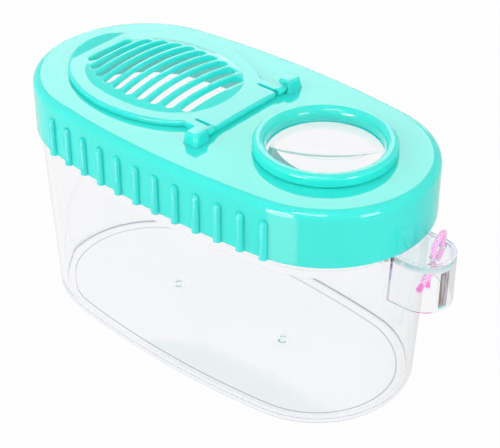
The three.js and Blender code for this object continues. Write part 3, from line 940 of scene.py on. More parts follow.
def add_tail(skin, n, tip):
    """One of the knot's tails: a braided stem that frays into loose strands."""
    start = Vector(KNOT_MIDDLE)
    end = Vector(tip)
    bow = Vector((0.3 - 0.5 * n, 0.4, 0.2))
    stem_end = start.lerp(end, STEM_SHARE)
    route = smooth_route([start, start.lerp(stem_end, 0.5) + bow * STEM_BOW, stem_end], 36)
    stem = tube(skin, route, CORD_RADIUS * (TAIL_GIRTH - TAIL_THINNER * n), CORD_SIDES, braided=True)
    draw = random.Random(11 + n)
    for _ in range(TAIL_STRANDS):
        spread = Vector([draw.uniform(-1, 1) for _ in range(3)])
        root = stem_end - (end - stem_end).normalized() * ROOT_DEPTH + spread * ROOT_SPREAD
        middle = root.lerp(end, MIDDLE_SHARE) + spread * MIDDLE_SPREAD
        tip_at = end + Vector((
            spread.x * TIP_SPREAD, spread.y * TIP_SPREAD, spread.z * TIP_HEIGHT + TIP_LIFT,
        ))
        tube(skin, smooth_route([root, middle, tip_at], 6), STRAND_RADIUS, STRAND_SIDES, STRAND_TAPER)
    return stem


def make_cord():
    loop = Skin()
    route = smooth_route(LOOP_ROUTE, 200)
    loop_tube = tube(loop, route, CORD_RADIUS, CORD_SIDES, braided=True)
    cord = loop.piece("cord_braid", material("pink_braid"))
    map_braid(cord, [loop_tube])

    knot = Skin()
    tubes = [tube(knot, knot_route(), CORD_RADIUS * KNOT_TIGHTNESS, CORD_SIDES, braided=True)]
    tubes += [add_tail(knot, n, tip) for n, tip in enumerate(TAIL_TIPS)]
    tied = knot.piece("cord_knot_frayed", material("pink_braid"))
    map_braid(tied, tubes)

    for piece in (cord, tied):
        piece.visible_glossy = False
    settle(cord, "tank", "pink_cord", "cord_loop")
    settle(tied, "tank", "pink_cord", "cord_knot")


def lug_outline(inset, root_x, steps=20):
    """D-shaped: straight sides and a half-round tip."""
    radius = LUG_WIDTH / 2 - inset
    turns = [math.pi * (i / steps - 0.5) for i in range(steps + 1)]
    tip = [(LUG_MIDDLE_X + radius * math.cos(t), radius * math.sin(t)) for t in turns]
    return [(root_x, -radius), *tip, (root_x, radius)]


def make_lug():
    """The lug on the tank's end: hollow below, with a shallow tray and the cord's holes on top."""
    bevel = LUG_FOOT_BEVEL
    rings = [(lug_outline(bevel, LUG_ROOT_X), LUG_FOOT), (lug_outline(0, LUG_ROOT_X), LUG_FOOT + bevel)]
    rings += [(lug_outline(inset, LUG_ROOT_X), LUG_TOP - drop) for inset, drop in LUG_EDGE]
    lug = solid("lug", rings)
    inside = lug_outline(LUG_WALL, LUG_INSIDE_X)
    cut(lug, [(inside, LUG_FOOT - CUT_PAST), (inside, PLATE_UNDER)])
    cut(lug, [(inside, PLATE_TOP), (inside, LUG_TOP + CUT_PAST)])
    for x, y in CORD_HOLES:
        hole = circle(x, y, CORD_HOLE_RADIUS, 28)
        cut(lug, [(hole, PLATE_UNDER - CUT_PAST), (hole, LUG_TOP + CUT_PAST)])
    cavity = [(body_oval(z, TANK_WALL - CAVITY_OVERLAP), z) for z in (30, SLOPE_FOOT)]
    cavity += [(lid_oval(NECK_INNER - CAVITY_OVERLAP), z) for z in (LEDGE_Z, NECK_TOP + CUT_PAST)]
    cut(lug, cavity)
    return lug


def paint_edge_lines(piece, count, rings):
    """Stores how strongly each ring of a lofted piece shows as a painted dark line in the clear plastic,
    standing in for the refraction at its edge.
    """
    line = piece.data.attributes.new("painted_edge_line", "FLOAT", "POINT").data
    for ring, strength in rings.items():
        for v in range(ring * count, (ring + 1) * count):
            line[v].value = strength


def keep_lines_below(piece, height):
    """Takes the painted lines off all higher points, because a join gives them to the points that it adds.
    """
    line = piece.data.attributes["painted_edge_line"].data
    for vertex, mark in zip(piece.data.vertices, line):
        if vertex.co.z > height * MM:
            mark.value = 0


def tank_rings():
    """The tank's rings under its foot, up its outside, over the neck and down its inside."""
    below = [(body_oval(0, BASE_LINE_INSET + step), 0) for step in (BASE_LINE_REACH, 0, -BASE_LINE_REACH)]
    outside = [(body_oval(z, inset), z) for inset, z in reversed(quarter(BASE_ROUND, 6))]
    wall = np.linspace(BASE_ROUND + 6, LEDGE_Z - 6, 5)
    wall = [BASE_ROUND + TANK_HOLD, *wall, LEDGE_Z - EDGE_SOFT - TANK_HOLD]
    outside += [(body_oval(z), z) for z in wall]
    outside += [(body_oval(LEDGE_Z - drop, inset), LEDGE_Z - drop) for inset, drop in SOFT_EDGE]
    outside.append((lid_oval(NECK_INSET), LEDGE_Z))
    outside += [(lid_oval(NECK_INSET + inset), NECK_TOP - drop) for inset, drop in SOFT_EDGE]

    inside = [(lid_oval(NECK_INNER - inset), NECK_TOP - drop) for inset, drop in reversed(SOFT_EDGE)]
    inside.append((lid_oval(NECK_INNER), LEDGE_Z + TANK_HOLD))
    for share in (0, 0.1, 0.9, 1):
        outline = between(lid_oval(NECK_INNER), body_oval(SLOPE_FOOT, TANK_WALL), share)
        inside.append((outline, LEDGE_Z - SHOULDER_SLOPE * share))
    wall = [SLOPE_FOOT - SLOPE_HOLD, *np.linspace(SLOPE_FOOT - 8, 12, 5)]
    inside += [(body_oval(z, TANK_WALL), z) for z in wall]
    for inset, rise in (
        (0, FLOOR_BEVEL + LINE_REACH), (0, FLOOR_BEVEL), (LINE_REACH, FLOOR_BEVEL - LINE_REACH),
        (FLOOR_BEVEL - LINE_REACH, LINE_REACH), (FLOOR_BEVEL, 0), (FLOOR_BEVEL + LINE_REACH, 0),
    ):
        inside.append((body_oval(FLOOR_THICKNESS + rise, TANK_WALL + inset), FLOOR_THICKNESS + rise))
    rings = below + outside + inside
    # The painted dark lines: the one under the base, those round the foot and those at the floor's bevel
    lines = {1: 0.95, len(below) + 3: 1.0, len(below) + 4: 0.7, len(rings) - 5: 0.2, len(rings) - 2: 0.35}
    return rings, lines


def make_tank():
    skin = Skin()
    rings, lines = tank_rings()
    first, last = skin.loft(rings)
    skin.fill([first], up=False)
    marks = []
    for x, y in MARK_PLACES:
        rings = [skin.ring(circle(x, y, r, 48), FLOOR_THICKNESS - depth) for r, depth in MARK_PROFILE]
        for wide, narrow in zip(rings, rings[1:]):
            skin.chain([narrow, wide])
        skin.fill([rings[-1]])
        marks.append(rings[0])
    skin.fill([last, *marks])
    tank = skin.piece("tank_clear", material("clear_tank"))
    paint_edge_lines(tank, len(first), lines)
    carve(tank, make_lug(), "UNION")
    keep_lines_below(tank, LINES_BELOW)
    soften(tank)
    settle(tank, "tank", "clear_plastic", "tank")


def make_lid():
    skin = Skin()
    bevel, foot = SKIRT_INNER_BEVEL, SKIRT_FOOT_ROUND
    rings = [(lid_oval(LID_WALL + inset), ROOF_UNDER - drop) for inset, drop in ROOF_FILLET]
    rings += [
        (lid_oval(LID_WALL), SKIRT_BOTTOM + bevel), (lid_oval(LID_WALL - bevel), SKIRT_BOTTOM),
        (lid_oval(foot), SKIRT_BOTTOM), (lid_oval(foot * 0.3), SKIRT_BOTTOM + foot * 0.3),
        (lid_oval(), SKIRT_BOTTOM + foot), (lid_oval(), SKIRT_BOTTOM + foot * 2),
    ]
    round_foot = JAR_HEIGHT - LID_EDGE_ROUND
    heights = [*np.linspace(SKIRT_BOTTOM + 3, round_foot - 1, 4), round_foot - SKIRT_HOLD]
    rings += [(lid_oval(), z) for z in heights]
    rings += [(lid_oval(inset), JAR_HEIGHT - drop) for inset, drop in quarter(LID_EDGE_ROUND, 12)]
    rings.append((lid_oval(LID_EDGE_ROUND + ROOF_HOLD), JAR_HEIGHT))
    under, top = skin.loft(rings)
    tops, unders = [top], [under]
    for outline in (
        grille_oval(-PLUG_WALL - PLUG_FIT)[::-1],
        circle(LENS_MIDDLE, 0, SPIGOT_RADIUS + RING_FIT)[::-1],
    ):
        low = skin.ring(outline, ROOF_UNDER)
        lower, upper = skin.rim(outline, HOLE_EDGE, JAR_HEIGHT, 3)
        skin.chain([low, lower])
        hold = skin.ring(shifted(outline, HOLE_HOLD), JAR_HEIGHT)
        skin.chain([upper, hold])
        tops.append(hold)
        unders.append(low)
    skin.fill(tops)
    skin.fill(unders, up=False)
    lid = skin.piece("lid_shell", material("turquoise_gloss"))
    settle(lid, "lid", "turquoise_plastic", "lid")


def ear_outline(side, inset, share=0.0):
    """An ear from above, with rounder corners for a larger share."""
    near, far = sorted((side * EAR_INNER, side * (EAR_INNER + EAR_WIDTH)))
    radius = EAR_CORNER[0] + (EAR_CORNER[1] - EAR_CORNER[0]) * share - inset
    return rounded([
        (EAR_BACK + inset, near + inset, radius), (EAR_FRONT - inset, near + inset, radius),
        (EAR_FRONT - inset, far - inset, radius), (EAR_BACK + inset, far - inset, radius),
    ])


def make_ears():
    """Ears beside the hatch's arms, each with a socket for the pin and a snap mouth."""
    for name, side in (("ear_near", -1), ("ear_far", 1)):
        rings = [(ear_outline(side, -spread), JAR_HEIGHT + rise) for spread, rise in EAR_FOOT]
        for inset, drop in quarter(EAR_ROUND, 6):
            rings.append((ear_outline(side, EAR_DRAFT + inset, 1.0), JAR_HEIGHT + EAR_HEIGHT - drop))
        ear = solid(name, rings)
        ear.data.materials.append(material("turquoise_gloss"))
        low, high = sorted((side * (EAR_INNER - CUT_PAST), side * (EAR_INNER + PIN_LENGTH + REST_GAP)))
        socket = Skin()
        socket.drum((HINGE_X, low, HINGE_Z), (HINGE_X, high, HINGE_Z), PIN_RADIUS + PIN_FIT, 32)
        carve(ear, socket.piece("socket"), "DIFFERENCE")
        back = EAR_BACK - CUT_PAST
        mouth = [(back, low), (HINGE_X, low), (HINGE_X, high), (back, high)]
        cut(ear, [(mouth, HINGE_Z - MOUTH_HEIGHT / 2), (mouth, HINGE_Z + MOUTH_HEIGHT / 2)])
        soften(ear)
        settle(ear, "lid", "turquoise_plastic")


def rib_tree():
    """Geometry nodes for a row of grip ribs: round bars with domed tops, set along the skirt's side arc."""
    tree = bpy.data.node_groups.new("grip_ribs", "GeometryNodeTree")
    wanted = (
        ("Count", "NodeSocketInt", 12), ("Pitch", "NodeSocketFloat", 0.00818),
        ("Radius", "NodeSocketFloat", 0.00145), ("Height", "NodeSocketFloat", 0.0135),
        ("Foot", "NodeSocketFloat", 0.0639), ("Arc Radius", "NodeSocketFloat", 0.3),
        ("Arc Middle", "NodeSocketFloat", 0.27), ("Side", "NodeSocketFloat", 1.0),
    )
    for name, kind, default in wanted:
        socket = tree.interface.new_socket(name, in_out="INPUT", socket_type=kind)
        socket.default_value = default
    tree.interface.new_socket("Material", in_out="INPUT", socket_type="NodeSocketMaterial")
    tree.interface.new_socket("Geometry", in_out="OUTPUT", socket_type="NodeSocketGeometry")

    t = Nodes(tree)
    given = t.node("NodeGroupInput").outputs
    index = t.node("GeometryNodeInputIndex").outputs[0]
    turn = t.product(t.calc("MAXIMUM", t.calc("SUBTRACT", index, 1.0), 0.0), RIB_DOME_STEP)
    dome_foot = t.calc("SUBTRACT", given["Height"], given["Radius"])
    rise = t.calc("ADD", dome_foot, t.product(given["Radius"], t.calc("SINE", turn)))
    spine = t.node("GeometryNodeMeshLine", {"Count": RIB_DOME_RINGS + 1})
    spine = t.node("GeometryNodeSetPosition", {
        "Geometry": spine.outputs["Mesh"],
        "Position": t.combine(z=t.product(rise, t.calc("MINIMUM", index, 1.0))),
    })
    spine = t.node("GeometryNodeMeshToCurve", {"Mesh": spine.outputs[0]})
    round_bar = t.node("GeometryNodeCurvePrimitiveCircle", {"Resolution": 28, "Radius": given["Radius"]})
    rib = t.node("GeometryNodeCurveToMesh", {
        "Curve": spine.outputs[0], "Profile Curve": round_bar.outputs[0], "Fill Caps": True,
        "Scale": t.calc("COSINE", turn),
    })
    reach = t.product(given["Pitch"], t.calc("SUBTRACT", given["Count"], 1.0))
    row = t.node("GeometryNodeMeshLine", {
        "Count": given["Count"],
        "Start Location": t.combine(x=t.product(reach, -0.5)),
        "Offset": t.combine(x=given["Pitch"]),
    })
    x = t.axes(t.node("GeometryNodeInputPosition").outputs[0])["X"]
    squared = t.calc("SUBTRACT", t.product(given["Arc Radius"], given["Arc Radius"]), t.product(x, x))
    y = t.product(t.calc("SUBTRACT", t.calc("SQRT", squared), given["Arc Middle"]), given["Side"])
    row = t.node("GeometryNodeSetPosition", {
        "Geometry": row.outputs["Mesh"], "Position": t.combine(x, y, given["Foot"]),
    })
    made = t.node("GeometryNodeInstanceOnPoints", {"Points": row.outputs[0], "Instance": rib.outputs[0]})
    made = t.node("GeometryNodeRealizeInstances", {"Geometry": made.outputs[0]})
    made = t.node("GeometryNodeSetShadeSmooth", {"Geometry": made.outputs[0]})
    made = t.node("GeometryNodeSetMaterial", {"Geometry": made.outputs[0], "Material": given["Material"]})
    t.node("NodeGroupOutput", {"Geometry": made.outputs[0]})
    return tree


def run_tree(name, tree, values):
    """A plain mesh from a geometry nodes tree, with its inputs set by identifier."""
    made = bpy.data.objects.new(name, bpy.data.meshes.new(name))
    bpy.context.scene.collection.objects.link(made)
    modifier = made.modifiers.new("nodes", "NODES")
    modifier.node_group = tree
    for item in tree.interface.items_tree:
        if item.in_out == "INPUT" and item.name in values:
            modifier[item.identifier] = values[item.name]
    made.data = evaluated(made)
    made.data.name = name
    return made


def make_ribs():
    sizes = bpy.context.scene.bug_jar_sizes
    arc = side_radius(LID_HALF_LENGTH, LID_HALF_WIDTH, LID_END_RADIUS)
    tree = rib_tree()
    for name, side in (("ribs_near", -1.0), ("ribs_far", 1.0)):
        row = run_tree(name, tree, {
            "Count": sizes.rib_count, "Pitch": sizes.rib_pitch, "Radius": sizes.rib_radius,
            "Height": (SKIRT_HEIGHT - RIB_DROP) * MM, "Foot": SKIRT_BOTTOM * MM,
            "Arc Radius": arc * MM, "Arc Middle": (arc - LID_HALF_WIDTH) * MM, "Side": side,
            "Material": material("turquoise_gloss"),
        })
        row.data.set_sharp_from_angle(angle=SHARP_ANGLE)
        settle(row, "lid", "turquoise_plastic")


def plate_outline():
    """The hatch's plate from above: an oval with two spring arms, each cut free by a slit."""
    turn = math.acos((ARM_ROOT_X - HATCH_MIDDLE) / HATCH_HALF_LENGTH)
    slit_inner = ARM_INNER - SLIT_WIDTH
    corners = (
        (HINGE_X + HINGE_LEDGE, slit_inner), (SLIT_ROOT_X, slit_inner), (SLIT_ROOT_X, ARM_INNER),
        (HINGE_X, ARM_INNER), (HINGE_X, ARM_OUTER), (ARM_ROOT_X + ARM_FILLET, ARM_OUTER),
    )
    right = [(x, y, r) for (x, y), r in zip(corners, PLATE_CORNERS)]
    arc = []
    steps = 150
    for i in range(steps + 1):
        t = turn + (2 * math.pi - 2 * turn) * i / steps
        arc.append((HATCH_MIDDLE + HATCH_HALF_LENGTH * math.cos(t), HATCH_HALF_WIDTH * math.sin(t), 0))
    left = [(x, -y, r) for x, y, r in reversed(right)]
    return resampled(rounded([*right, *arc, *left]), PLATE_SPACING)


def plate_radius(plate):
    """How round the plate's edge is at each point: less in the narrow slits."""
    spots = np.array(plate)
    in_slit = (spots[:, 0] > SLIT_ROOT_X - 1) & (np.abs(spots[:, 1]) > SLIT_NEAR_Y)
    radius = np.where(in_slit, SLIT_EDGE, PLATE_EDGE)
    for _ in range(6):
        radius = (np.roll(radius, 1) + radius + np.roll(radius, -1)) / 3
    return np.minimum(radius, np.where(in_slit, SLIT_EDGE_MOST, PLATE_EDGE))


def slot_outline(index):
    """One vent slot, its points the other way round because it is a hole."""
    x = HATCH_MIDDLE + SLOT_ROW_SHIFT + ((SLOT_COUNT - 1) / 2 - index) * SLOT_PITCH
    share = (x - HATCH_MIDDLE - SLOT_FIELD_SHIFT) / SLOT_FIELD_HALF_LENGTH
    half = bpy.context.scene.bug_jar_sizes.slot_width / MM / 2
    reach = SLOT_FIELD_HALF_WIDTH * math.sqrt(1 - share ** 2) - half
    steps = 14
    ends = []
    for y, start in ((reach, 0.0), (-reach, math.pi)):
        for i in range(steps + 1):
            turn = start + math.pi * i / steps
            ends.append((x + half * math.cos(turn), y + half * math.sin(turn)))
    return resampled(ends, SLOT_SPACING)[::-1]


def dome_top(x, y):
    return HATCH_TOP + DOME_RISE * max(0.0, 1 - grille_share(x, y) ** 2)


def dome_under(x, y):
    deep = DOME_RISE + HATCH_THICKNESS - DOME_THICKNESS
    return HATCH_UNDER + deep * max(0.0, 1 - grille_share(x, y, DOME_THICKNESS) ** 2)


def dome_points(loops, clear):
    """Points over the dome, along its edge and across the lip's bend, kept a little way from the loops."""
    spots = []
    for row in range(-20, 21):
        for column in range(-26, 27):
            x = HATCH_MIDDLE + (column + 0.5 * (row % 2)) * DOME_SPACING
            spots.append((x, row * DOME_SPACING * DOME_ROW_SPACING))
    spots = [p for p in spots if grille_share(*p) < DOME_INSIDE]
    for share in DOME_EDGE_RINGS:
        spots += grille_oval(0, share, 150)
    for k in range(-1, 6):
        spots += [(LIP_X + LIP_BEND * (0.5 - k / 4), y * LIP_SPACING) for y in range(-23, 24)]
    spots = np.array(spots)
    spots = spots[within(spots, loops)]
    edges = np.concatenate([np.array(loop) for loop in loops])
    near = np.min(np.linalg.norm(spots[:, None] - edges[None], axis=2), 1)
    return [tuple(p) for p in spots[near > clear]]


def fold_lip(points):
    """Turns the plate's end up about its chord, through a short bend."""
    folded = []
    start = LIP_X + LIP_BEND / 2
    pivot = HATCH_UNDER + HATCH_THICKNESS / 2
    rate = LIP_TILT / LIP_BEND
    for x, y, z in points:
        run = start - x
        if run <= 0:
            folded.append((x, y, z))
            continue
        angle = rate * min(run, LIP_BEND)
        past = max(0.0, run - LIP_BEND)
        along = math.sin(angle) / rate + past * math.cos(LIP_TILT)
        lift = (1 - math.cos(angle)) / rate + past * math.sin(LIP_TILT)
        low = pivot - z
        folded.append((start - along - low * math.sin(angle), y, pivot + lift - low * math.cos(angle)))
    return folded


def make_hatch():
    skin = Skin()
    plate = plate_outline()
    radius = plate_radius(plate)
    low = skin.ring(plate, HATCH_UNDER)
    lower, upper = skin.rim(plate, radius, HATCH_TOP, 6)
    skin.chain([low, lower])
    hold = skin.ring(shifted(plate, radius + PLATE_HOLD), HATCH_TOP)
    skin.chain([upper, hold])
    tops, bottoms = [hold], [low]
    for index in range(SLOT_COUNT):
        outline = slot_outline(index)
        bottom = skin.ring(outline, [dome_under(x, y) for x, y in outline])
        lower, upper = skin.rim(outline, SLOT_EDGE, dome_top, 4)
        skin.chain([bottom, lower])
        tops.append(upper)
        bottoms.append(bottom)
    skin.fill(tops, dome_top, dome_points(skin.plan(tops), CLEAR_ABOVE))
    skin.fill(bottoms, dome_under, dome_points(skin.plan(bottoms), CLEAR_BELOW), up=False)
    skin.points = fold_lip(skin.points)
    hatch = skin.piece("hatch_panel", material("turquoise_gloss"))
    carve(hatch, make_plug(), "UNION")
    barrel = (ARM_INNER, ARM_OUTER, BARREL_RADIUS, BARREL_END_ROUND)
    pin = (ARM_INNER + 1, EAR_INNER + PIN_LENGTH, PIN_RADIUS, PIN_END_ROUND)
    for side in (-1, 1):
        for start, end, radius, round_end in (barrel, pin):
            bar = Skin()
            bar.drum((HINGE_X, side * start, HINGE_Z), (HINGE_X, side * end, HINGE_Z), radius, 36, round_end)
            carve(hatch, bar.piece("bar"), "UNION")
    soften(hatch)
    settle(hatch, "hatch", "turquoise_plastic", "hatch")


def make_plug():
    """The wall under the hatch that fits the lid's opening."""
    skin = Skin()
    plug_foot = HATCH_UNDER - PLUG_DEPTH
    tops, feet = [], []
    for outline in (grille_oval(-PLUG_WALL), grille_oval(0)[::-1]):
        top = skin.ring(outline, HATCH_UNDER + PLUG_SINK)
        upright = skin.ring(outline, plug_foot + PLUG_BEVEL)
        foot = skin.ring(shifted(outline, PLUG_BEVEL), plug_foot)
        skin.chain([foot, upright, top])
        tops.append(top)
        feet.append(foot)
    skin.fill(tops)
    skin.fill(feet, up=False)
    return skin.piece("plug")


def revolved(profile):
    """Rings about the lens's upright axis, for a (radius, height) profile over the lid's roof."""
    return [(circle(LENS_MIDDLE, 0, radius), JAR_HEIGHT + z) for radius, z in profile]


def quadrant(radius, z, width, height, start, steps):
    """A quarter of an ellipse about (radius, z): 0 starts level and outside, and 1 on top."""
    turns = [(math.pi / 2) * (start + i / steps) for i in range(steps + 1)]
    return [(radius + width * math.cos(t), z + height * math.sin(t)) for t in turns]


def make_ring():
    crest = CREST_RADIUS + CREST_FLAT
    outer_round = FLANGE_RADIUS - RING_DRAFT - crest
    inner_round = CREST_RADIUS - APERTURE_RADIUS
    wall_top = RING_HEIGHT - outer_round
    wall_foot = REST_GAP + RING_FOOT
    seat_foot = SEAT_TOP - SEAT_HEIGHT
    profile = [
        (APERTURE_RADIUS, -SPIGOT_DEPTH), (SPIGOT_RADIUS - SPIGOT_BEVEL, -SPIGOT_DEPTH),
        (SPIGOT_RADIUS, -SPIGOT_DEPTH + SPIGOT_BEVEL), (SPIGOT_RADIUS, REST_GAP),
        (FLANGE_RADIUS - RING_FOOT, REST_GAP),
        (FLANGE_RADIUS - RING_FOOT * 0.3, REST_GAP + RING_FOOT * 0.3), (FLANGE_RADIUS, wall_foot),
        (FLANGE_RADIUS - RING_DRAFT * 0.1, wall_foot + RING_HOLD),
        (FLANGE_RADIUS - RING_DRAFT * 0.9, wall_top - RING_HOLD),
        *quadrant(crest, wall_top, outer_round, outer_round, 0, 12),
        *quadrant(CREST_RADIUS, APERTURE_SLOPE, inner_round, RING_HEIGHT - APERTURE_SLOPE, 1, 14),
        (APERTURE_RADIUS, SEAT_TOP), (SEAT_RADIUS, SEAT_TOP), (SEAT_RADIUS, seat_foot),
        (APERTURE_RADIUS, seat_foot),
    ]
    skin = Skin()
    first, last = skin.loft(revolved(profile))
    skin.chain([last, first])
    ring = skin.piece("lens_ring_bezel", material("turquoise_gloss"))
    settle(ring, "lid", "turquoise_plastic", "lens_ring")


def make_lens():
    top = SEAT_TOP - REST_GAP
    foot = SEAT_TOP - SEAT_HEIGHT + REST_GAP
    shares = [1 - i / 20 for i in range(20)]
    bulge = [(LENS_FACE_RADIUS * share, LENS_RISE * (1 - share ** 2)) for share in shares]
    profile = [(r, foot - z) for r, z in reversed(bulge)]
    profile += [(LENS_EDGE_RADIUS, foot), (LENS_EDGE_RADIUS, top)]
    profile += [(r, top + z) for r, z in bulge]
    skin = Skin()
    first, last = skin.loft(revolved(profile))
    skin.cap(first, False, (LENS_MIDDLE, 0, JAR_HEIGHT + foot - LENS_RISE))
    skin.cap(last, True, (LENS_MIDDLE, 0, JAR_HEIGHT + top + LENS_RISE))
    lens = skin.piece("lens_clear", material("clear_lens"))
    settle(lens, "lid", "lens_plastic", "lens")


# Camera, floor and light

def bearing(azimuth, elevation):
    """The way out from the jar, by the turn from its near side and the height above the horizon."""
    return Vector((
        math.sin(azimuth) * math.cos(elevation),
        -math.cos(azimuth) * math.cos(elevation),
        math.sin(elevation),
    ))


def hold_up(name, data, location, way):
    """A camera or lamp at a place out along a way, which looks back."""
    holder = bpy.data.objects.new(name, data)
    bpy.context.scene.collection.objects.link(holder)
    holder.location = location
    holder.rotation_mode = "QUATERNION"
    holder.rotation_quaternion = (-way).to_track_quat("-Z", "Y")
    return holder


def make_camera():
    view = bpy.context.scene.bug_jar_view
    lens = bpy.data.cameras.new("camera")
    lens.sensor_width = 36
    lens.lens = view.lens
    lens.clip_start = 0.01
    lens.clip_end = 50
    way = bearing(view.azimuth, view.elevation)
    bpy.context.scene.camera = hold_up("camera", lens, CAMERA_PLACE, way)


def floor_material():
    """A pale floor, white to the camera and through the clear plastic, that keeps the jar's shadow."""
    t = Nodes(bpy.data.materials.new("floor_white"))
    rays = t.node("ShaderNodeLightPath").outputs
    share = t.product(rays["Is Camera Ray"], FLOOR_GLOW_SEEN)
    share = t.calc("MULTIPLY_ADD", rays["Is Transmission Ray"], FLOOR_GLOW_THROUGH, share)
    grain = t.span(t.noise(30, 2), 0.80, 0.84)
    base = t.node("ShaderNodeCombineColor", {0: grain, 1: grain, 2: grain})
    matt = t.node("ShaderNodeBsdfDiffuse", {"Color": base.outputs[0]})
    glow = t.node("ShaderNodeEmission", {"Color": (1, 1, 1, 1), "Strength": 1.0})
    return t.finish(t.either(share, matt.outputs[0], glow.outputs[0]))


def make_world():
    """A soft pale light, white where it is seen, mirrored or looked through.

    In the gloss it is a little dimmer below the horizon behind the jar.
    """
    world = bpy.data.worlds.new("studio")
    bpy.context.scene.world = world
    t = Nodes(world)
    rays = t.node("ShaderNodeLightPath").outputs
    way = t.axes(t.node("ShaderNodeTexCoord").outputs["Generated"])
    low_back = t.product(rays["Is Glossy Ray"], t.ramp(way["Z"], *LOW_BACK_Z), t.ramp(way["Y"], *LOW_BACK_Y))
    plain = t.node("ShaderNodeBackground", {
        "Color": (1, 1, 1, 1), "Strength": t.calc("MULTIPLY_ADD", low_back, -LOW_BACK_DIM, 1.0),
    })
    soft = t.node("ShaderNodeBackground", {"Color": (0.98, 0.99, 1, 1), "Strength": WORLD_LIGHT})
    seen = t.calc("MAXIMUM", rays["Is Camera Ray"], rays["Is Glossy Ray"])
    seen = t.calc("MAXIMUM", seen, rays["Is Transmission Ray"])
    t.finish(t.either(seen, soft.outputs[0], plain.outputs[0]), "ShaderNodeOutputWorld")


def wearers(finish):
    """The pieces of one finish, as a collection that a lamp can be kept for."""
    group = bpy.data.collections.get(finish)
    if group is None:
        group = bpy.data.collections.new(finish)
        for piece in bpy.context.scene.objects:
            if piece.type == "MESH" and any(m and m.name == finish for m in piece.data.materials):
                group.objects.link(piece)
    return group


def soft_box(name, azimuth, elevation, distance, size, radiance, finish):
    """A soft lamp that looks at the jar's lid, or a bright card that only the gloss shows."""
    card = finish == "turquoise_gloss"
    lamp = bpy.data.lights.new(name, "AREA")
    lamp.shape = "RECTANGLE"
    lamp.size, lamp.size_y = size
    lamp.energy = radiance * math.pi * size[0] * size[1]
    way = bearing(math.radians(azimuth), math.radians(elevation))
    holder = hold_up(name, lamp, Vector(LAMP_TARGET) + way * distance, way)
    holder.visible_camera = False
    holder.visible_transmission = False
    holder.visible_diffuse = not card
    holder.visible_glossy = card
    if finish:
        holder.light_linking.receiver_collection = wearers(finish)


def make_stage():
    half = FLOOR_HALF
    skin = Skin()
    skin.faces.append(skin.ring([(-half, -half), (half, -half), (half, half), (-half, half)], FLOOR_Z))
    floor = skin.piece("floor", floor_material())
    floor.visible_glossy = False
    make_world()
    for box in SOFT_BOXES:
        soft_box(*box)
    bpy.context.scene.view_settings.view_transform = "Standard"


# Add-on

class BugJarSizes(bpy.types.PropertyGroup):
    """Sizes of the moulded details."""
    rib_count: IntProperty(name="Ribs", description="Grip ribs on each long side", default=12, min=2)
    rib_pitch: FloatProperty(
        name="Rib pitch", description="From rib to rib", default=0.00818, unit="LENGTH", precision=5)
    rib_radius: FloatProperty(
        name="Rib radius", description="Half a rib's width", default=0.00145, unit="LENGTH", precision=5)
    slot_width: FloatProperty(
        name="Slot width", description="Width of a vent slot", default=0.0037, unit="LENGTH", precision=5)


class BugJarLook(bpy.types.PropertyGroup):
    """Colours of the finishes."""
    lid_colour: FloatVectorProperty(
        name="Lid", description="Gloss plastic of the lid and hatch", subtype="COLOR", size=3,
        default=(0.042, 0.880, 0.780), min=0, max=1)
    tank_tint: FloatVectorProperty(
        name="Tank", description="Tint of the clear tank", subtype="COLOR", size=3,
        default=(0.985, 0.985, 0.995), min=0, max=1)
    edge_tint: FloatVectorProperty(
        name="Thick places", description="Tint of thick places in the tank", subtype="COLOR", size=3,
        default=(0.965, 0.97, 0.985), min=0, max=1)
    # Dark lines painted along the tank's edges, standing in for the refraction there
    painted_line_tint: FloatVectorProperty(
        name="Edge lines", description="Tint of the tank's thin edge lines", subtype="COLOR", size=3,
        default=(0.13, 0.17, 0.26), min=0, max=1)
    # Painted shade: the lug's dark tint stands in for the dark reflections in its thick plastic
    lug_painted_shade: FloatVectorProperty(
        name="Lug edges", description="Tint of thick places in the lug", subtype="COLOR", size=3,
        default=(0.42, 0.38, 0.46), min=0, max=1)
    lens_tint: FloatVectorProperty(
        name="Lens", description="Tint of the lens", subtype="COLOR", size=3,
        default=(0.995, 0.995, 1.0), min=0, max=1)
    cord_colour: FloatVectorProperty(
        name="Cord", description="Bright strands of the cord", subtype="COLOR", size=3,
        default=(1.0, 0.17, 0.70), min=0, max=1)


class BugJarView(bpy.types.PropertyGroup):
    """Where the camera looks from."""
    azimuth: FloatProperty(
        name="Azimuth", description="Round the jar", default=math.radians(40.924), subtype="ANGLE")
    elevation: FloatProperty(
        name="Elevation", description="Above the horizon", default=math.radians(34.28), subtype="ANGLE")
    lens: FloatProperty(name="Lens", description="Focal length", default=104.8, unit="CAMERA")


class BUGJAR_OT_camera(bpy.types.Operator):
    """Sets the camera at the viewing angle"""
    bl_idname = "bugjar.camera"
    bl_label = "Camera"

    def execute(self, context):
        make_camera()
        return {"FINISHED"}


class BUGJAR_OT_cord(bpy.types.Operator):
    """Makes the braided loop, its knot and its frayed tails"""
    bl_idname = "bugjar.cord"
    bl_label = "Cord"

    def execute(self, context):
        make_cord()
        return {"FINISHED"}


class BUGJAR_OT_tank(bpy.types.Operator):
    """Makes the clear tank with its lug"""
    bl_idname = "bugjar.tank"
    bl_label = "Tank"

    def execute(self, context):
        make_tank()
        return {"FINISHED"}


class BUGJAR_OT_lid(bpy.types.Operator):
    """Makes the lid's shell"""
    bl_idname = "bugjar.lid"
    bl_label = "Lid"

    def execute(self, context):
        make_lid()
        return {"FINISHED"}


class BUGJAR_OT_ears(bpy.types.Operator):
    """Makes the two hinge ears"""
    bl_idname = "bugjar.ears"
    bl_label = "Hinge ears"

    def execute(self, context):
        make_ears()
        return {"FINISHED"}


class BUGJAR_OT_ribs(bpy.types.Operator):
    """Makes both rows of grip ribs"""
    bl_idname = "bugjar.ribs"
    bl_label = "Grip ribs"

    def execute(self, context):
        make_ribs()
        return {"FINISHED"}


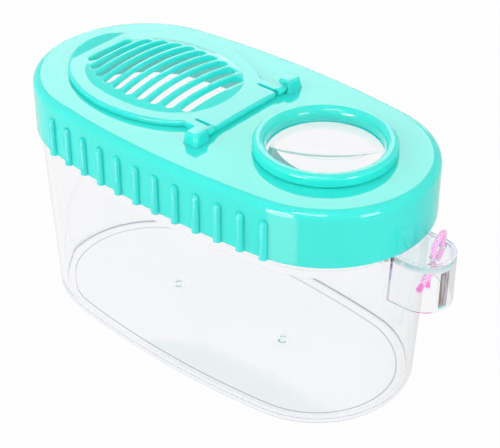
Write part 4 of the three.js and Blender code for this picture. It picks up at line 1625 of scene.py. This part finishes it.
class BUGJAR_OT_hatch(bpy.types.Operator):
    """Makes the ventilated hatch with its arms and pins"""
    bl_idname = "bugjar.hatch"
    bl_label = "Hatch"

    def execute(self, context):
        make_hatch()
        return {"FINISHED"}


class BUGJAR_OT_ring(bpy.types.Operator):
    """Makes the ring that holds the lens"""
    bl_idname = "bugjar.ring"
    bl_label = "Lens ring"

    def execute(self, context):
        make_ring()
        return {"FINISHED"}


class BUGJAR_OT_lens(bpy.types.Operator):
    """Makes the magnifying lens"""
    bl_idname = "bugjar.lens"
    bl_label = "Lens"

    def execute(self, context):
        make_lens()
        return {"FINISHED"}


class BUGJAR_OT_stage(bpy.types.Operator):
    """Makes the floor, the world and the lamps"""
    bl_idname = "bugjar.stage"
    bl_label = "Stage"

    def execute(self, context):
        make_stage()
        return {"FINISHED"}


STEPS = (
    BUGJAR_OT_camera, BUGJAR_OT_cord, BUGJAR_OT_tank, BUGJAR_OT_lid, BUGJAR_OT_ears, BUGJAR_OT_ribs,
    BUGJAR_OT_hatch, BUGJAR_OT_ring, BUGJAR_OT_lens, BUGJAR_OT_stage,
)


class BUGJAR_PT_panel(bpy.types.Panel):
    """Lists the jar's pieces and settings."""
    bl_label = "Bug Jar"
    bl_space_type = "VIEW_3D"
    bl_region_type = "UI"
    bl_category = "Bug Jar"

    def draw(self, context):
        scene = context.scene
        for group in (scene.bug_jar_sizes, scene.bug_jar_look, scene.bug_jar_view):
            for name in group.__annotations__:
                self.layout.prop(group, name)
        for operator in STEPS:
            self.layout.operator(operator.bl_idname)


GROUPS = (("bug_jar_sizes", BugJarSizes), ("bug_jar_look", BugJarLook), ("bug_jar_view", BugJarView))


def register():
    for name, group in GROUPS:
        bpy.utils.register_class(group)
        setattr(bpy.types.Scene, name, PointerProperty(type=group))
    for operator in STEPS:
        bpy.utils.register_class(operator)
    bpy.utils.register_class(BUGJAR_PT_panel)


def unregister():
    bpy.utils.unregister_class(BUGJAR_PT_panel)
    for operator in reversed(STEPS):
        bpy.utils.unregister_class(operator)
    for name, group in reversed(GROUPS):
        delattr(bpy.types.Scene, name)
        bpy.utils.unregister_class(group)


def main():
    register()
    for operator in STEPS:
        group, word = operator.bl_idname.split(".")
        getattr(getattr(bpy.ops, group), word)()


if __name__ == "__main__":
    main()
